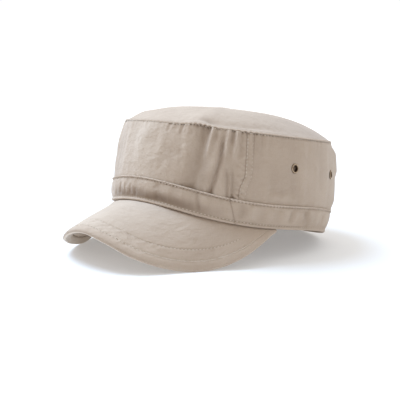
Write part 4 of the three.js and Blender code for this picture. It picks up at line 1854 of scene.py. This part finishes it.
def vent_place(cloth: WallCloth, angle: float, height: float) -> Matrix:
    """Where a vent sits, in the middle of the cloth's thickness.

    Args:
        cloth: The wall's cloth.
        angle: The vent's angle round the crown.
        height: Its height on the crown.

    Returns:
        Its place, with its axis out of the cloth.
    """
    at = np.array([angle]), np.array([height])
    face = FORM.on_crown(*at, cloth.out(*at))
    across, up = 2.0, 0.05
    turns = np.array([angle + across, angle - across, angle, angle])
    heights = np.array([height, height, height + up, height - up])
    ahead, behind, above, under = FORM.on_crown(turns, heights, np.zeros(4))
    out = np.cross(ahead - behind, above - under)
    out /= np.linalg.norm(out)
    middle = POSE.place(face[0] - out * cloth.thickness / 2)
    way = Vector(POSE.turn(out))
    return Matrix.Translation(Vector(middle)) @ way.to_track_quat("Z", "Y").to_matrix().to_4x4()


def vent_places(cloth: WallCloth) -> list[Matrix]:
    """Where all four vents sit."""
    spots = [(side * angle, height) for side in (1, -1) for _, angle, height in VENT_SPOTS]
    return [vent_place(cloth, *spot) for spot in spots]


# Stitches


@dataclass(frozen=True)
class Thread:
    """One stitch as it shows: a short bowed bead of thread that dips into the cloth at its ends."""

    length: float = 2.0
    radius: float = 0.31
    bow: float = 0.3
    sides: int = 6
    rings: int = 6

    def model(self) -> tuple[Array, list[tuple[int, ...]]]:
        """Models one stitch along the first axis, with the third one up out of the cloth.

        Returns:
            Its points in millimetres and its faces.
        """
        deselect_all()
        bpy.ops.mesh.primitive_uv_sphere_add(segments=self.sides, ring_count=self.rings, radius=1.0)
        bead = named("one_stitch")
        with edit_all():
            bpy.ops.transform.rotate(value=math.pi / 2, orient_axis="Y", center_override=(0.0, 0.0, 0.0))
            bpy.ops.transform.resize(value=(self.length / 2, self.radius, self.radius))
            bpy.ops.mesh.normals_make_consistent(inside=False)
        spots = points_of(bead)
        along = spots[:, 0] / (self.length / 2)
        # Fuller than a ball towards its ends
        ball = np.maximum(np.sqrt(np.clip(1 - along**2, 0, 1)), 1e-3)
        full = np.sqrt(np.clip(1 - along**4, 0, 1)) / ball
        spots[:, 1:] *= np.minimum(full, 1.6)[:, None]
        spots[:, 2] -= self.bow * along**2
        faces = [tuple(face.vertices) for face in bead.data.polygons]
        bpy.data.objects.remove(bead)
        return spots, faces


@dataclass(frozen=True)
class StitchRow:
    """A row of stitches over cloth: where it runs, and how it lies."""

    face: Face
    first: float
    last: float
    pitch: float
    raise_by: float
    steps: int = 1600
    uneven: float = 0.05
    slant: float = 2.5

    def places(self, draw: np.random.Generator) -> list[Matrix]:
        """Where each stitch of the row lies, in millimetres of the cap's own frame.

        Args:
            draw: Where the small differences between stitches come from.

        Returns:
            One place for each stitch.
        """
        along = np.linspace(self.first, self.last, self.steps)
        passed = passed_along(self.face(along, np.zeros_like(along)))
        count = max(1, int(passed[-1] / self.pitch))
        middles = (np.arange(count) + 0.5) * passed[-1] / count
        at = np.interp(middles + draw.normal(0.0, self.uneven, count), passed, along)
        step = (self.last - self.first) / self.steps
        middle = self.face(at, np.zeros_like(at))
        ahead = self.face(at + step, np.zeros_like(at)) - self.face(at - step, np.zeros_like(at))
        beside = self.face(at, np.full_like(at, 0.3)) - self.face(at, np.full_like(at, -0.3))
        places = []
        for spot, way, up in zip(middle, ahead, np.cross(ahead, beside)):
            x, z = Vector(way).normalized(), Vector(up).normalized()
            y = z.cross(x)
            turn = math.radians(draw.normal(0.0, self.slant))
            x, y = x * math.cos(turn) + y * math.sin(turn), y * math.cos(turn) - x * math.sin(turn)
            place = Matrix((x, y, z)).transposed().to_4x4()
            place.translation = Vector(spot) + z * self.raise_by
            places.append(place)
        return places


def sew(name: str, rows: Sequence[StitchRow], thread: Thread, seed: int) -> bpy.types.Object:
    """Joins rows of stitches into one piece.

    Args:
        name: The piece's name.
        rows: The rows.
        thread: The stitch that repeats.
        seed: The seed of the small differences between stitches.

    Returns:
        The stitches.
    """
    spots, faces = thread.model()
    draw = np.random.default_rng(seed)
    places = [place for row in rows for place in row.places(draw)]
    turned = [spots @ np.array(place.to_3x3()).T + np.array(place.translation) for place in places]
    mesh = bpy.data.meshes.new(name)
    shifted = [tuple(v + i * len(spots) for v in face) for i in range(len(places)) for face in faces]
    mesh.from_pydata(POSE.place(np.vstack(turned)).tolist(), [], shifted)
    mesh.validate()
    piece = linked(name, mesh)
    select_only(piece)
    bpy.ops.object.shade_smooth()
    log.info("%s: %d stitches", name, len(places))
    return piece


@dataclass
class Seams:
    """All rows of stitches on the cap."""

    wall: WallCloth
    band: BandCloth
    peak: PeakCloth
    thread: Thread = Thread()
    # How far below the top seam its stitches lie
    under_top: float = 0.75
    wall_pitch: float = 2.6
    side_span: tuple[float, float] = (1.02, 1.975)
    # The angle at which the ribbon's stitches sink into the cloth behind
    ribbon_end: float = 94.0
    first_end: float = 0.92

    def round_row(self, cloth: WallCloth | BandCloth, height: float, tall: float) -> Face:
        """A row round the crown at one height.

        Args:
            cloth: The cloth that it lies on.
            height: Its height.
            tall: Millimetres in one height.

        Returns:
            The row's face, which gives points along the row and beside it.
        """

        def face(angle: Array, beside: Array) -> Array:
            """Points along the row at angles, and beside it in millimetres."""
            at = height + beside / tall
            return FORM.on_crown(angle, at, cloth.out(angle, at))

        return face

    def side_row(self, side: int, past: float) -> Face:
        """A row up a side seam, some way past it.

        Args:
            side: 1 on the left, -1 on the right.
            past: Millimetres behind the seam.

        Returns:
            The row's face, which gives points along the row and beside it.
        """

        def face(height: Array, beside: Array) -> Array:
            """Points along the row at heights, and beside it in millimetres."""
            away = math.degrees(1.0 / FORM.around) * (past - beside * side)
            angle = side * (FORM.side_seam(height) + away)
            return FORM.on_crown(angle, height, self.wall.out(angle, height))

        return face

    def peak_row(self, inset: float, upper: bool) -> Face:
        """A row round the peak, some way in from its edge.

        Args:
            inset: Millimetres in from the edge.
            upper: Whether it is on the upper face.

        Returns:
            The row's face, which gives points along the row and beside it.
        """
        way = 1.0 if upper else -1.0

        def face(share: Array, beside: Array) -> Array:
            """Points along the row at shares of the span, and beside it in millimetres."""
            return self.peak.face(share, inset + beside * way, np.full(share.shape, upper))

        return face

    def crown_rows(self) -> list[StitchRow]:
        """The row under the top seam, and two rows up each side seam."""
        height = 2.0 - self.under_top / FORM.wall_tall
        top = self.round_row(self.wall, height, FORM.wall_tall)
        rows = [StitchRow(top, 0.0, FULL_TURN, self.wall_pitch, 0.0)]
        beside = ((self.wall.seam_row, 0.1), (self.wall.strip_width - self.wall.strip_row, -0.2))
        for side in (1, -1):
            for past, raise_by in beside:
                face = self.side_row(side, past)
                rows.append(StitchRow(face, *self.side_span, self.wall_pitch, raise_by))
        return rows

    def band_rows(self) -> list[StitchRow]:
        """The row under the band's cord, and the ribbon's row in front and behind."""
        rope = self.round_row(self.band, self.band.rope_ditch, FORM.band_tall)
        ribbon = self.round_row(self.band, self.band.ribbon_top, FORM.band_tall)
        end, pitch = self.ribbon_end, self.peak.row_pitch
        return [
            StitchRow(rope, 0.0, FULL_TURN, self.band.rope_pitch, -0.08),
            StitchRow(ribbon, -end, end, pitch, 0.0),
            StitchRow(ribbon, end, FULL_TURN - end, pitch, -0.2),
        ]

    def peak_rows(self) -> list[StitchRow]:
        """The peak's outer and inner rows, on its upper face and then on its underside."""
        peak = self.peak
        rows = ((peak.first_row, self.first_end, 0.22), (peak.second_row, peak.second_end, 0.0))
        return [
            StitchRow(self.peak_row(inset, upper), -end, end, peak.row_pitch, raise_by)
            for upper in (True, False)
            for inset, end, raise_by in rows
        ]

    def build(self) -> list[bpy.types.Object]:
        """Sews every row.

        Returns:
            The stitches of the crown, the band and the peak.
        """
        return [
            sew("crown_stitches", self.crown_rows(), self.thread, 51),
            sew("band_stitches", self.band_rows(), self.thread, 52),
            sew("peak_stitches", self.peak_rows(), self.thread, 53),
        ]


# Studio


def direction(azimuth: float, elevation: float) -> tuple[float, float, float]:
    """The way from the cap towards a camera or a lamp.

    Args:
        azimuth: Radians from the front towards the wearer's left.
        elevation: Radians up.

    Returns:
        A step of length 1.
    """
    level = math.cos(elevation)
    return math.sin(azimuth) * level, -math.cos(azimuth) * level, math.sin(elevation)


@dataclass(frozen=True)
class Camera:
    """The photo's camera, measured in the cap's own frame."""

    azimuth: float = 38.184
    elevation: float = 1.392
    roll: float = -8.777
    distance: float = 552.686
    focal_pixels: float = 663.514
    photo_pixels: float = 400.0
    sensor: float = 36.0
    aim: tuple[float, float, float] = (-7.486, -20.888, 13.332)

    def build(self) -> bpy.types.Object:
        """Places the camera round the cap as it lies.

        Returns:
            The camera.
        """
        turn, rise, roll = (math.radians(a) for a in (self.azimuth, self.elevation, self.roll))
        back = np.array(direction(turn, rise))
        right = np.array([math.cos(turn), math.sin(turn), 0.0])
        up = np.cross(back, right)
        x = math.cos(roll) * right - math.sin(roll) * up
        y = math.sin(roll) * right + math.cos(roll) * up
        data = bpy.data.cameras.new("camera")
        data.sensor_width = self.sensor
        data.lens = self.focal_pixels / self.photo_pixels * self.sensor
        camera = linked("camera", data)
        place = Matrix([POSE.turn(x), POSE.turn(y), POSE.turn(back)]).transposed().to_4x4()
        place.translation = Vector(POSE.place(np.array(self.aim) + self.distance * back))
        camera.matrix_world = place
        bpy.context.scene.camera = camera
        return camera


@dataclass(frozen=True)
class Lamp:
    """A soft light that looks at the cap from a direction."""

    name: str
    azimuth: float
    elevation: float
    away: float
    size: float
    watts: float
    colour: Colour

    def build(self, aim: Vector) -> bpy.types.Object:
        """Places the light.

        Args:
            aim: Where it looks.

        Returns:
            The light.
        """
        back = Vector(direction(math.radians(self.azimuth), math.radians(self.elevation)))
        data = bpy.data.lights.new(self.name, "AREA")
        data.shape, data.size, data.energy, data.color = "DISK", self.size, self.watts, self.colour
        lamp = linked(self.name, data)
        lamp.location = aim + back * self.away
        lamp.rotation_euler = back.to_track_quat("Z", "Y").to_euler()
        return lamp


@dataclass(frozen=True)
class Studio:
    """A pale floor, white surroundings and soft lights."""

    floor_size: float = 30.0
    aim: tuple[float, float, float] = (0.0, 0.0, 0.05)
    bright_side: tuple[float, float, float] = (-0.8, 0.35, 0.5)
    bright: Colour = (1.02, 1.02, 1.02)
    dim: Colour = (0.4, 0.372, 0.345)
    # From where to where the surroundings fade, as the cosine to the bright side
    dim_until: float = -0.85
    bright_from: float = 0.55
    lamps: tuple[Lamp, ...] = (
        Lamp("key", -64.0, 61.0, 1.3, 0.8, 16.8, (0.75, 0.99, 1.3)),
        Lamp("rim", 128.0, 24.0, 1.3, 0.7, 0.6, (0.85, 0.95, 1.05)),
    )

    def build(self) -> None:
        """Lays the floor and sets the lights."""
        deselect_all()
        bpy.ops.mesh.primitive_plane_add(size=self.floor_size)
        floor = named("studio_floor")
        floor.data.materials.append(FloorFinish("pale_floor").material())
        scene = bpy.context.scene
        scene.view_settings.view_transform = "Standard"
        scene.view_settings.look = "None"
        scene.world = self.surround()
        for lamp in self.lamps:
            lamp.build(Vector(self.aim))

    def surround(self) -> bpy.types.World:
        """White surroundings that fade softly from a bright side to a dimmer one.

        Returns:
            The world.
        """
        world = bpy.data.worlds.new("studio")
        nodes = Nodes(world)
        sides = {0: nodes.add("TexCoord", {}, "Generated"), 1: Vector(self.bright_side).normalized()}
        towards = nodes.add("VectorMath", sides, "Value", operation="DOT_PRODUCT")
        span = {"Value": towards, "From Min": self.dim_until, "From Max": self.bright_from}
        share = nodes.add("MapRange", span, interpolation_type="SMOOTHSTEP")
        nodes.fill(nodes.shader, {"Color": nodes.mix(share, rgba(self.dim), rgba(self.bright))})
        return world


# Assembly


def main() -> None:
    """Builds the cap round its frame, then the studio and the camera."""
    # The twill's colours: dark and light cloth, the paler colour of rubbed places and painted light, and
    # the colour of painted shade
    twill = TwillFinish(
        "washed_twill", (0.43, 0.33, 0.25), (0.525, 0.416, 0.324), (0.68, 0.58, 0.48), (0.23, 0.16, 0.11)
    ).material()
    thread = ThreadFinish("sewing_thread", (0.46, 0.37, 0.285), (0.72, 0.63, 0.52)).material()
    brass = BrassFinish("antique_brass", (0.07, 0.041, 0.024), (0.66, 0.5, 0.34)).material()
    wall, band, peak = WallCloth(), BandCloth(), PeakCloth()
    keep(Top().build(), twill, Slot.TWILL, "crown_top")
    for part in Part:
        keep(Wall(part, cloth=wall).build(), twill, Slot.TWILL, f"crown_{part.value}")
        keep(Band(part, cloth=band).build(), twill, Slot.TWILL, f"band_{part.value}")
    keep(Peak(peak).build(), twill, Slot.TWILL, "peak")
    for side, hand in ((1, "left"), (-1, "right")):
        for name, angle, height in VENT_SPOTS:
            node = f"eyelet_{hand}_{name}"
            vent = Vent().build(f"{node}_brass", vent_place(wall, side * angle, height), wall.thickness)
            keep(vent, brass, Slot.METAL, node)
    for stitches in Seams(wall, band, peak).build():
        keep(stitches, thread, Slot.TWILL)
    Studio().build()
    Camera().build()


if __name__ == "__main__":
    logging.basicConfig(level=logging.INFO, format="%(message)s")
    main()
